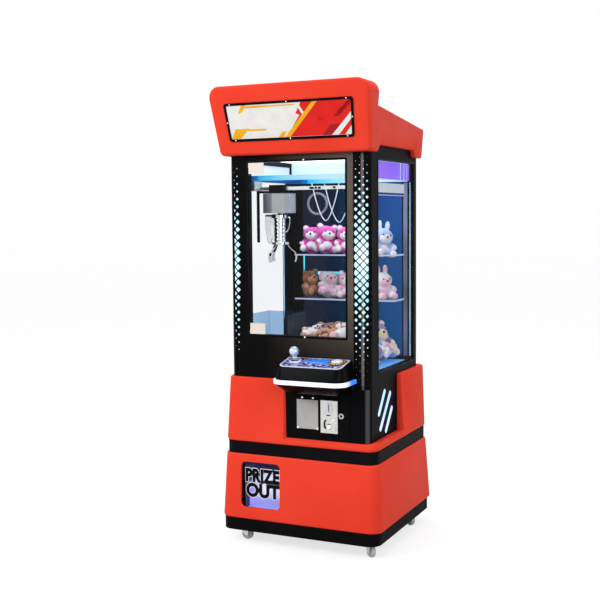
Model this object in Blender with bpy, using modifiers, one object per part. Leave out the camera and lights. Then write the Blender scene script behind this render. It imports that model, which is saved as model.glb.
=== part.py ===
"""Claw crane machine, built piece by piece. Metres, +Z up, the player stands on the -Y side.

The origin is on the floor, under the middle of the machine.
"""

import math

import bmesh
import bpy
from mathutils import Matrix, Vector

# Gaps between touching pieces
GAP = 0.0003
CLEAR = 0.001

# Base
CASTER_X = 0.285
CASTER_YS = (-0.205, 0.265)
WHEEL_RADIUS = 0.025
WHEEL_WIDTH = 0.020
CASTER_TRAIL = 0.026
CASTER_TURNS = {"front_left": -95, "front_right": -130, "rear_left": -110, "rear_right": -125}
PLINTH_BOTTOM = 0.055
PLINTH_TOP = 0.105
PLINTH = (0.350, -0.274, 0.370)
PLINTH_RADII = (0.050, 0.024)

# Moulded cowls: half width, front and back at each height
COWL_WALL = 0.006
LOWER_COWL = ((PLINTH_TOP + GAP, 0.357, -0.275, 0.3885), (0.3775, 0.343, -0.2625, 0.367))
UPPER_COWL = ((0.429, 0.340, -0.263, 0.365), (0.699, 0.324, -0.255, 0.3845))
LOWER_COWL_RADII = ((0.054, 0.028), (0.050, 0.026))
UPPER_COWL_RADII = ((0.050, 0.026), (0.046, 0.024))
BELT_HALF = 0.336
CUTAWAY_LEFT = -0.055
CUTAWAY_BACK = 0.072
CUTAWAY_BOTTOM = 0.459

# Cabinet and tower: the same outline from the base to the marquee
HALF = 0.308
FRONT = -0.2465
BACK = 0.329
CORNER = 0.034
SHEET = 0.004
CABINET_TOP = 0.674
TOWER_TOP = 1.640
TOWER_WALL = 0.028
WINDOW = (-0.217, 0.210, 0.877, 1.577)
SIDE_WINDOW = (-0.142, 0.286, 0.731, 1.579)
HINGE_X = WINDOW[0] + 0.010
HINGE_Y = FRONT + 0.0035
PATCH = (0.070, 0.044)
NOTCH = 0.020
POST_EDGE = 0.243
POST_SIDE_EDGE = -0.212
POST_BOTTOM = 0.690
POST_TOP = 1.596
REAR_DOOR_HALF = 0.250
REAR_DOOR_BOTTOM = 0.742
REAR_DOOR_TOP = 1.560

# Prize path
DECK_TOP = 0.725
CHUTE = (-0.238, -0.068, -0.205, -0.030)
PRIZE_BOX = (-0.252, -0.082, -0.2415, -0.030)
PRIZE_MOUTH = (-0.258, -0.077, 0.153, 0.3465)
PRIZE_DOORWAY = (-0.2495, -0.0845, 0.150, 0.341)
FLAP_AXIS_Z = 0.336

# Gantry and claw, at home over the chute
RAIL_Z = 1.505
BRIDGE_Y = -0.100
CLAW_X = -0.148
FINGER_ANGLES = (20, 140, 260)
FINGER_PIVOT_RADIUS = 0.032
FINGER_PIVOT_Z = 1.247

# Shelves
SHELF_FRONT = 0.120
SHELF_BACK = 0.245
SHELF_LEFT = -0.185
SHELF_ZS = {"shelf_lower": 1.000, "shelf_upper": 1.193}

# Marquee
MARQUEE_HALF = 0.3485
MARQUEE_TAPER = 0.062
MARQUEE_BOTTOM = 1.605
MARQUEE_TOP = 1.877
FASCIA_FRONT_BOTTOM = -0.2785
FASCIA_FRONT_TOP = -0.3505
FASCIA_BACK = -0.220
MARQUEE_BACK = 0.341
ROOF_FRONT_Z = 1.786
ROOF_BACK_Z = 1.728
MARQUEE_WALL = 0.009

# Console: left, right and front at each height, and the sloping top
CONSOLE_LEVELS = (
    (0.656, -0.020, 0.216, -0.322),
    (0.664, -0.033, 0.228, -0.340),
    (0.696, -0.052, 0.247, -0.380),
    (0.718, -0.052, 0.247, -0.380),
)
CONSOLE_TOP = (-0.041, 0.237, -0.362)
CONSOLE_BACK_Z = 0.790
CONSOLE_FRONT_Z = 0.7655
CONSOLE_BACK = FRONT - 0.0005
STRIP_Z = (0.6995, 0.7165)
JOYSTICK = (0.010, -0.046)
BUTTON = (0.192, -0.046)
JOYSTICK_PIVOT_DEPTH = 0.030
JOYSTICK_HOLE = 0.019
BALL_HEIGHT = 0.043

# Coin door
COIN_DOOR = (-0.029, 0.226, 0.478, 0.650)
LOCK = (0.1915, 0.565)
COIN_KNOB = (0.139, 0.520)
LIGHT_BARS = (
    ((-0.076, 0.645), (-0.140, 0.563)),
    ((-0.012, 0.628), (-0.123, 0.499)),
    ((0.007, 0.563), (-0.060, 0.481)),
)
LIGHT_BAR_WIDTH = 0.021

RED = (0.80, 0.055, 0.030)
BLACK = (0.012, 0.012, 0.014)
STEEL = (0.62, 0.62, 0.63)
ACRYLIC = (0.85, 0.93, 0.95)
LIT = (0.80, 0.93, 1.00)


def clear_scene():
    for item in list(bpy.data.objects):
        bpy.data.objects.remove(item)


def make_collection(name):
    group = bpy.data.collections.new(name)
    bpy.context.scene.collection.children.link(group)
    return group


def make_material(name, colour, roughness, metallic):
    material = bpy.data.materials.new(name)
    material.use_nodes = True
    shader = material.node_tree.nodes["Principled BSDF"]
    shader.inputs["Base Color"].default_value = (*colour, 1)
    shader.inputs["Roughness"].default_value = roughness
    shader.inputs["Metallic"].default_value = metallic
    return material


def piece(name, mesh, colour=BLACK, roughness=0.4, metallic=0.0, parent=None):
    """An object of the machine, with a material of its own."""
    item = bpy.data.objects.new(name, mesh)
    PARTS.objects.link(item)
    item.data.materials.append(make_material(name, colour, roughness, metallic))
    item.parent = parent
    return item


def cutter(name, mesh, parent=None):
    """A helper that cuts or joins. It isn't part of the machine."""
    item = bpy.data.objects.new(name, mesh)
    CUTTERS.objects.link(item)
    item.hide_render = True
    item.display_type = "WIRE"
    item.parent = parent
    return item


def boolean(item, tool, operation):
    modifier = item.modifiers.new(tool.name, "BOOLEAN")
    modifier.operation = operation
    modifier.object = tool
    return item


def cut(item, mesh, parent=None):
    return boolean(item, cutter(item.name + "_cut", mesh, parent), "DIFFERENCE")


def join(item, mesh, parent=None):
    return boolean(item, cutter(item.name + "_join", mesh, parent), "UNION")


def bevel(item, width, segments=2, angle=35):
    modifier = item.modifiers.new("Bevel", "BEVEL")
    modifier.width = width
    modifier.segments = segments
    modifier.limit_method = "ANGLE"
    modifier.angle_limit = math.radians(angle)
    return item


def finish(bm, name):
    bmesh.ops.recalc_face_normals(bm, faces=bm.faces)
    mesh = bpy.data.meshes.new(name)
    bm.to_mesh(mesh)
    bm.free()
    return mesh


def box(x0, x1, y0, y1, z0, z1):
    bm = bmesh.new()
    bmesh.ops.create_cube(bm, size=1)
    for vert in bm.verts:
        vert.co.x = x0 if vert.co.x < 0 else x1
        vert.co.y = y0 if vert.co.y < 0 else y1
        vert.co.z = z0 if vert.co.z < 0 else z1
    return finish(bm, "box")


def cylinder(centre, axis, radius, length, segments=24):
    """A cylinder round centre, along the axis."""
    bm = bmesh.new()
    turn = Vector((0, 0, 1)).rotation_difference(Vector(axis)).to_matrix().to_4x4()
    bmesh.ops.create_cone(
        bm,
        cap_ends=True,
        segments=segments,
        radius1=radius,
        radius2=radius,
        depth=length,
        matrix=Matrix.Translation(centre) @ turn,
    )
    return finish(bm, "cylinder")


def turned(profile, centre=(0, 0, 0), axis=(0, 0, 1), segments=24):
    """A solid turned round an axis: the profile's points are (radius, distance along the axis)."""
    bm = bmesh.new()
    verts = [bm.verts.new((radius, 0, along)) for radius, along in profile]
    edges = [bm.edges.new(pair) for pair in zip(verts, verts[1:])]
    bmesh.ops.spin(
        bm, geom=verts + edges, cent=(0, 0, 0), axis=(0, 0, 1), angle=math.tau, steps=segments
    )
    bmesh.ops.remove_doubles(bm, verts=bm.verts, dist=0.00001)
    turn = Vector((0, 0, 1)).rotation_difference(Vector(axis)).to_matrix().to_4x4()
    bm.transform(Matrix.Translation(centre) @ turn)
    return finish(bm, "turned")


def rounded_outline(x0, x1, y0, y1, front, back, steps=5):
    """Points round a rectangle, with one radius at the front corners and one at the back."""
    points = []
    corners = (
        (x0 + front, y0 + front, front, 180),
        (x1 - front, y0 + front, front, 270),
        (x1 - back, y1 - back, back, 0),
        (x0 + back, y1 - back, back, 90),
    )
    for x, y, radius, start in corners:
        for step in range(steps + 1):
            angle = math.radians(start + 90 * step / steps)
            points.append((x + radius * math.cos(angle), y + radius * math.sin(angle)))
    return points


def loft(rings, name="loft"):
    """A closed solid through rings of points. Each ring is extruded from the last and reshaped."""
    bm = bmesh.new()
    ring = [bm.verts.new(point) for point in rings[0]]
    face = bm.faces.new(ring)
    for points in rings[1:]:
        extruded = bmesh.ops.extrude_discrete_faces(bm, faces=[face])
        face = extruded["faces"][0]
        for vert, point in zip(face.verts, points):
            vert.co = point
    lid = bm.faces.new([vert for vert in ring])
    lid.normal_flip()
    return finish(bm, name)


def extrude_outline(points, low, high, axis="Z"):
    """A flat outline drawn out along one axis, from low to high."""
    if axis == "Z":
        rings = [[(u, v, level) for u, v in points] for level in (low, high)]
    elif axis == "Y":
        rings = [[(u, level, v) for u, v in points] for level in (low, high)]
    else:
        rings = [[(level, u, v) for u, v in points] for level in (low, high)]
    return loft(rings)


def rounded_slab(x0, x1, y0, y1, z0, z1, front, back, steps=5):
    return extrude_outline(rounded_outline(x0, x1, y0, y1, front, back, steps), z0, z1)


def cowl_ring(level, inset, front, back):
    height, half, y0, y1 = level
    outline = rounded_outline(-half + inset, half - inset, y0 + inset, y1 - inset, front, back)
    return [(x, y, height) for x, y in outline]


def between(levels, height):
    """The cowl's size at a height, on the straight line through its two levels."""
    low, high = levels
    share = (height - low[0]) / (high[0] - low[0])
    return (height, *(a + (b - a) * share for a, b in zip(low[1:], high[1:])))


def capsule(start, end, width, low, high, steps=5):
    """A bar with round ends in the YZ plane, from low to high along X."""
    (y0, z0), (y1, z1) = start, end
    angle = math.atan2(z1 - z0, y1 - y0)
    points = []
    for y, z, turn in ((y1, z1, -90), (y0, z0, 90)):
        for step in range(steps + 1):
            a = angle + math.radians(turn + 180 * step / steps)
            points.append((y + width / 2 * math.cos(a), z + width / 2 * math.sin(a)))
    return extrude_outline(points, low, high, axis="X")


def sheet_along(path, thickness, low, high):
    """A sheet of even thickness whose middle line is a path in the XY plane."""
    outer, inner = [], []
    for index, (x, y) in enumerate(path):
        x0, y0 = path[max(index - 1, 0)]
        x1, y1 = path[min(index + 1, len(path) - 1)]
        length = math.hypot(x1 - x0, y1 - y0)
        nx, ny = (y1 - y0) / length, (x0 - x1) / length
        outer.append((x + nx * thickness / 2, y + ny * thickness / 2))
        inner.append((x - nx * thickness / 2, y - ny * thickness / 2))
    return extrude_outline(outer + inner[::-1], low, high)


def make_base():
    half, near, far = PLINTH
    front, rear = PLINTH_RADII
    slab = rounded_slab(-half, half, near, far, PLINTH_BOTTOM, PLINTH_TOP, front, rear)
    plinth = piece("base_plinth", slab, roughness=0.45)
    plate_z, rim, wall = 0.0685, 0.008, 0.012
    recess = rounded_slab(
        rim - half, half - rim, near + rim, far - rim, 0.05, plate_z, front - rim, rear - rim
    )
    cut(plinth, recess)
    pad, ceiling = 0.048, 0.099
    cut(plinth, box(pad - CASTER_X, CASTER_X - pad, near + wall, far - wall, 0.05, ceiling))
    cut(plinth, box(wall - half, half - wall, CASTER_YS[0] + pad, CASTER_YS[1] - pad, 0.05, ceiling))


def fork_mesh():
    """A swivel head with a fork. Its origin is on the floor, under the swivel."""
    fork = cutter("fork_blank", cylinder((0, 0, 0.0615), (0, 0, 1), 0.019, 0.012, 20))
    join(fork, box(-0.0145, 0.0145, -0.012, CASTER_TRAIL + 0.012, 0.0525, 0.0560))
    for side in (-1, 1):
        inner, outer = sorted((side * 0.0115, side * 0.0140))
        outline = (
            (-0.008, 0.054),
            (CASTER_TRAIL + 0.011, 0.054),
            (CASTER_TRAIL + 0.008, 0.018),
            (CASTER_TRAIL - 0.008, 0.018),
        )
        join(fork, extrude_outline(outline, inner, outer, axis="X"))
    join(fork, cylinder((0, CASTER_TRAIL, WHEEL_RADIUS), (1, 0, 0), 0.0035, 0.028, 16))
    return baked(fork)


def wheel_mesh():
    """A solid-tyred wheel with a hub, round its own axle."""
    half, edge = WHEEL_WIDTH / 2, 0.004
    profile = (
        (0.004, -half),
        (0.012, -half),
        (0.014, -half + edge),
        (0.019, -half + edge),
        (0.021, -half),
        (WHEEL_RADIUS, -half + edge),
        (WHEEL_RADIUS, half - edge),
        (0.021, half),
        (0.019, half - edge),
        (0.014, half - edge),
        (0.012, half),
        (0.004, half),
        (0.004, -half),
    )
    return turned(profile, axis=(1, 0, 0), segments=28)


def baked(item):
    """The mesh that an object's modifiers give."""
    graph = bpy.context.evaluated_depsgraph_get()
    return bpy.data.meshes.new_from_object(item.evaluated_get(graph))


def make_casters():
    fork, wheel = fork_mesh(), wheel_mesh()
    for x, side in ((-CASTER_X, "left"), (CASTER_X, "right")):
        for y, end in zip(CASTER_YS, ("front", "rear")):
            head = piece(f"caster_fork_{end}_{side}", fork.copy(), STEEL, 0.3, 1.0)
            head.location = (x, y, 0)
            head.rotation_euler = (0, 0, math.radians(CASTER_TURNS[f"{end}_{side}"]))
            tyre = piece(f"caster_wheel_{end}_{side}", wheel.copy(), (0.75, 0.75, 0.75), 0.5)
            tyre.parent = head
            tyre.location = (0, CASTER_TRAIL, WHEEL_RADIUS)


def make_cowls():
    edge = 0.005
    cowls = (("lower_cowl", LOWER_COWL, LOWER_COWL_RADII), ("upper_cowl", UPPER_COWL, UPPER_COWL_RADII))
    for name, levels, radii in cowls:
        low, high = levels
        (low_front, low_back), (high_front, high_back) = radii
        rings = [
            cowl_ring(low, edge, low_front - edge, low_back - edge),
            cowl_ring(between(levels, low[0] + edge), 0, low_front, low_back),
            cowl_ring(between(levels, high[0] - edge), 0, high_front, high_back),
            cowl_ring(high, edge, high_front - edge, high_back - edge),
        ]
        shell = piece(name, loft(rings), RED, 0.35)
        wall = COWL_WALL
        inside = [
            cowl_ring(between(levels, low[0] - 0.01), wall, low_front - wall, low_back - wall),
            cowl_ring(between(levels, high[0] + 0.01), wall, high_front - wall, high_back - wall),
        ]
        cut(shell, loft(inside))
    lower = bpy.data.objects["lower_cowl"]
    x0, x1, z0, z1 = PRIZE_MOUTH
    flare = 0.004
    mouth = rounded_outline(x0 + flare, x1 - flare, z0 + flare, z1 - flare, 0.014, 0.014)
    wide = rounded_outline(x0, x1, z0, z1, 0.020, 0.020)
    rings = [[(x, y, z) for x, z in outline] for outline, y in ((mouth, -0.240), (wide, -0.276))]
    cut(lower, loft(rings))
    upper = bpy.data.objects["upper_cowl"]
    cut(upper, box(CUTAWAY_LEFT, 0.4, -0.4, CUTAWAY_BACK, CUTAWAY_BOTTOM, 0.8))


def make_belt():
    low, high = LOWER_COWL[1][0] + GAP, UPPER_COWL[0][0] - GAP
    band = rounded_slab(-BELT_HALF, BELT_HALF, -0.2565, 0.361, low, high, 0.046, 0.022)
    belt = piece("belt_band", band, roughness=0.3)
    wall = 0.005
    inside = rounded_slab(
        wall - BELT_HALF, BELT_HALF - wall, -0.2515, 0.356, low - 0.01, high + 0.01, 0.041, 0.017
    )
    cut(belt, inside)


def make_cabinet():
    bottom = PLINTH_TOP + GAP
    cabinet = piece(
        "lower_cabinet", rounded_slab(-HALF, HALF, FRONT, BACK, bottom, CABINET_TOP, CORNER, 0.01)
    )
    inner = HALF - SHEET
    cut(
        cabinet,
        rounded_slab(
            -inner, inner, FRONT + SHEET, BACK - SHEET, 0.1, 0.7, CORNER - SHEET, 0.006
        ),
    )
    lip = 0.009
    x0, x1, z0, z1 = COIN_DOOR
    cut(cabinet, box(x0 + lip, x1 - lip, FRONT - 0.01, FRONT + 0.01, z0 + lip, z1 - lip))
    x0, x1, z0, z1 = PRIZE_DOORWAY
    cut(cabinet, box(x0, x1, FRONT - 0.01, FRONT + 0.01, z0, z1))
    for start, end in LIGHT_BARS:
        cut(cabinet, capsule(start, end, LIGHT_BAR_WIDTH, -0.4, 0.4))


def make_light_bars():
    for side, name in ((-1, "left_light_bars"), (1, "right_light_bars")):
        low, high = sorted((side * 0.3005, side * 0.3032))
        plate = box(low, high, -0.160, 0.027, 0.466, 0.658)
        bars = piece(name, plate, LIT, 0.3)
        low, high = sorted((side * 0.3020, side * (HALF + 0.001)))
        for start, end in LIGHT_BARS:
            join(bars, capsule(start, end, LIGHT_BAR_WIDTH - 2 * GAP, low, high))


def make_tower():
    bottom = CABINET_TOP + GAP
    tower = piece(
        "tower_frame", rounded_slab(-HALF, HALF, FRONT, BACK, bottom, TOWER_TOP, CORNER, 0.01)
    )
    inner = HALF - TOWER_WALL
    cut(tower, box(-inner, inner, FRONT + 0.030, BACK - 0.029, 0.6, 1.7))
    x0, x1, z0, z1 = WINDOW
    cut(tower, box(x0, x1, -0.3, -0.2, z0, z1))
    y0, y1, z0, z1 = SIDE_WINDOW
    cut(tower, box(-0.4, 0.4, y0, y1, z0, z1))
    cut(
        tower,
        box(-REAR_DOOR_HALF, REAR_DOOR_HALF, 0.28, 0.35, REAR_DOOR_BOTTOM, REAR_DOOR_TOP),
    )
    cut(tower, box(0.200, 0.250, 0.28, 0.35, 0.704, 0.732))
    for side in (-1, 1):
        low, high = sorted((side * (POST_EDGE - GAP), side * 0.4))
        cut(tower, box(low, high, -0.3, POST_SIDE_EDGE + GAP, POST_BOTTOM - GAP, POST_TOP + GAP))
    pin_z = (WINDOW[2] + WINDOW[3]) / 2
    cut(tower, cylinder((HINGE_X, HINGE_Y, pin_z), (0, 0, 1), 0.0036, 0.718, 16))


def corner_path(inset):
    """The middle line of a sheet that wraps the front right corner, inset from the outside."""
    radius = CORNER - inset
    x, y = HALF - CORNER, FRONT + CORNER
    path = [(POST_EDGE, y - radius)]
    for step in range(7):
        angle = math.radians(270 + 90 * step / 6)
        path.append((x + radius * math.cos(angle), y + radius * math.sin(angle)))
    path.append((x + radius, POST_SIDE_EDGE))
    return path


def make_posts():
    skin = 0.003
    for side, name in ((1, "right"), (-1, "left")):
        path = [(side * x, y) for x, y in corner_path(skin / 2)]
        sheet = sheet_along(path, skin, POST_BOTTOM, POST_TOP)
        piece(f"{name}_corner_post", sheet, roughness=0.3)


def make_front_door():
    x0, x1, z0, z1 = WINDOW
    gap = 0.002
    back, front = HINGE_Y + 0.0025, HINGE_Y - 0.0025
    glass = piece(
        "front_door_glass", box(x0 + gap, x1 - gap, front, back, z0 + gap, z1 - gap), ACRYLIC, 0.02
    )
    width, height = PATCH
    for name, edge, way in (("bottom", z0 + gap, 1), ("top", z1 - gap, -1)):
        low, high = sorted((edge - way * 0.01, edge + way * NOTCH))
        cut(glass, box(x0, x0 + NOTCH, -0.3, -0.2, low, high))
        low, high = sorted((edge, edge + way * height))
        plate = box(x0 + 2 * gap, x0 + gap + width, front - 0.0043, front - GAP, low, high)
        patch = piece(f"door_patch_{name}", plate, (0.82, 0.80, 0.76), 0.35, 0.6)
        low, high = sorted((edge, edge + way * (NOTCH - CLEAR)))
        join(patch, box(x0 + gap, x0 + NOTCH - CLEAR, front - 0.003, back, low, high))
        middle = edge + way * 0.001
        join(patch, cylinder((HINGE_X, HINGE_Y, middle), (0, 0, 1), 0.0025, 0.012, 16))


def make_side_glass():
    y0, y1, z0, z1 = SIDE_WINDOW
    gap = 0.0005
    for side, name in ((-1, "left_side_glass"), (1, "right_side_glass")):
        low, high = sorted((side * 0.2980, side * 0.3040))
        piece(name, box(low, high, y0 + gap, y1 - gap, z0 + gap, z1 - gap), ACRYLIC, 0.02)


def make_rear_door():
    door = piece(
        "rear_door",
        box(
            CLEAR - REAR_DOOR_HALF,
            REAR_DOOR_HALF - CLEAR,
            BACK - 0.016,
            BACK - GAP,
            REAR_DOOR_BOTTOM + CLEAR,
            REAR_DOOR_TOP - CLEAR,
        ),
        (0.75, 0.78, 0.80),
    )
    join(door, box(0.195, 0.215, BACK - 0.002, BACK + 0.012, 1.09, 1.21))
    inlet = piece("mains_inlet", box(0.201, 0.249, 0.303, BACK + 0.001, 0.705, 0.731))
    join(inlet, box(0.194, 0.256, BACK + GAP, BACK + 0.0033, 0.699, 0.737))
    cut(inlet, box(0.211, 0.239, 0.314, 0.34, 0.710, 0.726))


def make_prize_path():
    x0, x1, y0, y1 = CHUTE
    inner = HALF - TOWER_WALL - CLEAR
    deck = piece(
        "playfield_deck",
        box(-inner, inner, FRONT + 0.031, BACK - 0.030, DECK_TOP - 0.012, DECK_TOP),
        (0.65, 0.72, 0.80),
        0.5,
    )
    cut(deck, box(x0, x1, y0, y1, 0.7, 0.74))
    wall, low, high = 0.002, 0.358, DECK_TOP - 0.012 - GAP
    bx0, bx1, by0, by1 = PRIZE_BOX

    def ring(level, inset, grow):
        """The chute's outline part way between the prize box and the hole in the deck."""
        outline = [a + (b - a) * grow for a, b in zip(PRIZE_BOX, CHUTE)]
        left, right, near, far = outline
        left, right, near, far = left + inset, right - inset, near + inset, far - inset
        return [(left, near, level), (right, near, level), (right, far, level), (left, far, level)]

    chute = piece("prize_chute", loft([ring(low, 0, 0), ring(high, 0, 1)]), STEEL, 0.4, 0.8)
    cut(chute, loft([ring(low - 0.01, wall, -0.03), ring(high + 0.01, wall, 1.03)]))
    tray = piece("prize_box", box(bx0, bx1, by0, by1, 0.130, low - GAP), (0.80, 0.80, 0.88), 0.5)
    near, far = by0 - 0.01, by1 - wall
    rings = [
        [(x, near, 0.140), (x, far, 0.178), (x, far, 0.4), (x, near, 0.4)]
        for x in (bx0 + wall, bx1 - wall)
    ]
    cut(tray, loft(rings))
    flap = piece(
        "prize_flap", box(-0.2480, -0.0860, -0.2455, -0.2425, 0.152, 0.334), ACRYLIC, 0.2
    )
    join(flap, cylinder((-0.167, -0.2430, FLAP_AXIS_Z), (1, 0, 0), 0.0035, 0.162, 12))
    top = 0.955
    guard = piece(
        "chute_guard", box(x0, x1 + 0.004, y0 + 0.002, y1 + 0.004, DECK_TOP + GAP, top), ACRYLIC, 0.03
    )
    cut(guard, box(x0 - 0.01, x1, y0 - 0.01, y1, 0.7, 1.0))


def make_shelves():
    right = HALF - TOWER_WALL - 0.002
    for name, z in SHELF_ZS.items():
        shelf = piece(
            name, box(SHELF_LEFT, right, SHELF_FRONT, SHELF_BACK, z - 0.006, z), ACRYLIC, 0.03
        )
        cut(shelf, box(-0.178, -0.162, 0.150, 0.166, z - 0.02, z + 0.02))
    post = box(-0.1775, -0.1625, 0.1505, 0.1655, DECK_TOP + GAP, RAIL_Z - 0.04)
    piece("shelf_post", post, roughness=0.35)


def make_ceiling():
    inner = HALF - TOWER_WALL - CLEAR
    panel = box(-inner, inner, FRONT + 0.031, BACK - 0.030, 1.600, 1.612)
    piece("ceiling_light", panel, LIT, 0.4)


def make_gantry():
    inner = HALF - TOWER_WALL - 0.003
    y0, y1 = FRONT + 0.034, BACK - 0.034
    top = RAIL_Z + 0.020
    frame = piece("gantry_rails", box(-inner, inner, y0, y1, RAIL_Z, top), STEEL, 0.3, 0.9)
    rail = 0.022
    cut(frame, box(rail - inner, inner - rail, y0 + rail, y1 - rail, 1.4, 1.6))
    y = BRIDGE_Y
    beam_top = 1.481
    bridge = piece(
        "bridge_beam", box(-0.268, 0.268, y - 0.012, y + 0.012, 1.467, beam_top), STEEL, 0.3, 0.9
    )
    for side in (-1, 1):
        low, high = sorted((side * 0.246, side * 0.270))
        join(bridge, box(low, high, y - 0.035, y + 0.035, 1.465, RAIL_Z - 0.0005))
    x = CLAW_X
    trolley = piece("trolley", box(x - 0.036, x + 0.036, y - 0.026, y + 0.026, 1.4535, 1.489))
    cut(trolley, box(x - 0.05, x + 0.05, y - 0.013, y + 0.013, 1.466, beam_top + CLEAR))
    cover = piece(
        "hoist_cover", cylinder((x, y, 1.4125), (0, 0, 1), 0.072, 0.081, 8), (0.55, 0.55, 0.54), 0.45
    )
    cut(cover, cylinder((x, y, 1.402), (0, 0, 1), 0.0695, 0.081, 8))
    join(cover, cylinder((x, y, 1.4515), (0, 0, 1), 0.020, 0.0034, 20))


def make_claw():
    x, y = CLAW_X, BRIDGE_Y
    profile = (
        (0, 1.240),
        (0.0215, 1.240),
        (0.0235, 1.243),
        (0.0235, 1.352),
        (0.036, 1.352),
        (0.036, 1.364),
        (0.030, 1.368),
        (0.008, 1.368),
        (0.006, 1.378),
        (0, 1.378),
    )
    core = piece("claw_core", turned(profile, (x, y, 0)), (0.8, 0.8, 0.82), 0.12, 1.0)
    join(core, cylinder((x, y, FINGER_PIVOT_Z), (0, 0, 1), 0.039, 0.010, 30))
    for index, degrees in enumerate(FINGER_ANGLES):
        turn = Matrix.Translation((x, y, 0)) @ Matrix.Rotation(math.radians(degrees), 4, "Z")
        slot = box(0.0255, 0.05, -0.0072, 0.0072, FINGER_PIVOT_Z - 0.02, FINGER_PIVOT_Z + 0.02)
        slot.transform(turn)
        cut(core, slot)
        finger = piece(
            f"claw_finger_{index + 1}", finger_mesh(), (0.8, 0.8, 0.82), 0.12, 1.0
        )
        finger.matrix_world = turn @ Matrix.Translation((FINGER_PIVOT_RADIUS, 0, FINGER_PIVOT_Z))
        eye = cylinder((0, 0, 0), (0, 1, 0), 0.0042, 0.0120, 14)
        join(finger, eye, parent=finger)


def finger_mesh():
    """A bent strip, open as at rest. Its origin is on its pivot, and it reaches out along X."""
    line = (
        (0.000, 0.004),
        (0.001, -0.005),
        (0.006, -0.014),
        (0.020, -0.028),
        (0.033, -0.040),
        (0.037, -0.050),
        (0.0365, -0.066),
        (0.033, -0.076),
    )
    half = 0.0012
    outer, inner = [], []
    for index, (r, z) in enumerate(line):
        r0, z0 = line[max(index - 1, 0)]
        r1, z1 = line[min(index + 1, len(line) - 1)]
        length = math.hypot(r1 - r0, z1 - z0)
        nr, nz = (z0 - z1) / length, (r1 - r0) / length
        outer.append((r + nr * half, z + nz * half))
        inner.append((r - nr * half, z - nz * half))
    return extrude_outline(outer + inner[::-1], -0.0060, 0.0060, axis="Y")


def slope_height(y):
    """The height of the console's sloping top."""
    share = (y - CONSOLE_TOP[2]) / (CONSOLE_BACK - CONSOLE_TOP[2])
    return CONSOLE_FRONT_Z + (CONSOLE_BACK_Z - CONSOLE_FRONT_Z) * share


def console_outline(x0, x1, y0, radius):
    return rounded_outline(x0, x1, y0, CONSOLE_BACK, radius, 0.002)


def make_console():
    rings = []
    for z, x0, x1, y0 in CONSOLE_LEVELS:
        rings.append([(x, y, z) for x, y in console_outline(x0, x1, y0, 0.045)])
    x0, x1, y0 = CONSOLE_TOP
    rings.append([(x, y, slope_height(y)) for x, y in console_outline(x0, x1, y0, 0.028)])
    body = piece("console_body", loft(rings), roughness=0.35)
    tilt = math.atan2(CONSOLE_BACK_Z - CONSOLE_FRONT_Z, CONSOLE_BACK - CONSOLE_TOP[2])
    slope = bpy.data.objects.new("console_slope", None)
    PARTS.objects.link(slope)
    slope.location = (0, CONSOLE_BACK, CONSOLE_BACK_Z)
    slope.rotation_euler = (tilt, 0, 0)
    cut(body, box(-0.028, 0.224, -0.092, 0.05, -0.070, -0.008), slope)
    jx, jy = JOYSTICK
    bx, by = BUTTON
    joystick_hole = cylinder((jx, jy, 0), (0, 0, 1), JOYSTICK_HOLE, 0.03)
    button_hole = cylinder((bx, by, 0), (0, 0, 1), 0.0275, 0.03, 32)
    cut(body, joystick_hole, slope)
    cut(body, button_hole, slope)
    plate = rounded_slab(-0.036, 0.232, -0.113, -0.004, GAP, 0.0030, 0.024, 0.004)
    panel = piece("console_panel", plate, (0.75, 0.77, 0.85), 0.3, 0.3, parent=slope)
    cut(panel, joystick_hole.copy(), slope)
    cut(panel, button_hole.copy(), slope)
    screen = rounded_slab(0.068, 0.150, -0.066, -0.022, 0.0033, 0.0055, 0.003, 0.003, 2)
    piece("display", screen, (0.05, 0.25, 0.85), 0.1, parent=slope)
    make_light_strip()
    make_joystick(slope)
    dome = ((0, -0.012), (0.0262, -0.012), (0.0262, 0.006))
    crown = []
    for step in range(1, 6):
        angle = math.radians(18 * step)
        crown.append((0.0262 * math.cos(angle), 0.006 + 0.011 * math.sin(angle)))
    crown[-1] = (0, 0.017)
    button = piece("push_button", turned((*dome, *crown), segments=32), (0.9, 0.92, 0.95), 0.2)
    button.parent = slope
    button.location = (bx, by, 0)


def make_light_strip():
    low, high = STRIP_Z
    x0, x1, y0 = CONSOLE_LEVELS[2][1:]
    edge = 0.0085
    strip = piece(
        "console_light_strip",
        rounded_slab(x0 - edge, x1 + edge, y0 - edge, CONSOLE_BACK, low, high, 0.053, 0.001),
        LIT,
        0.4,
    )
    inside = rounded_slab(x0 - GAP, x1 + GAP, y0 - GAP, -0.2, 0.69, 0.73, 0.045, 0.001)
    cut(strip, inside)


def make_joystick(slope):
    jx, jy = JOYSTICK
    depth = -JOYSTICK_PIVOT_DEPTH
    pivot = piece(
        "joystick_gimbal", box(-0.014, 0.014, -0.014, 0.014, -0.004, 0.004), STEEL, 0.4, 0.9
    )
    cut(pivot, box(-0.008, 0.008, -0.008, 0.008, -0.01, 0.01), parent=pivot)
    pivot.parent = slope
    pivot.location = (jx, jy, depth)
    top = JOYSTICK_PIVOT_DEPTH + BALL_HEIGHT
    ball = 0.0205
    profile = [(0, -0.014), (0.005, -0.014), (0.005, 0.034), (0.008, 0.038), (0.008, 0.048)]
    neck = math.degrees(math.asin(0.009 / ball))
    for step in range(13):
        angle = math.radians(neck - 90 + (180 - neck) * step / 12)
        profile.append((ball * math.cos(angle), top + ball * math.sin(angle)))
    profile[-1] = (0, top + ball)
    stick = piece("joystick_stick", turned(profile, segments=24), (0.85, 0.88, 0.95), 0.1)
    stick.parent = slope
    stick.location = (jx, jy, depth)


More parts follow.
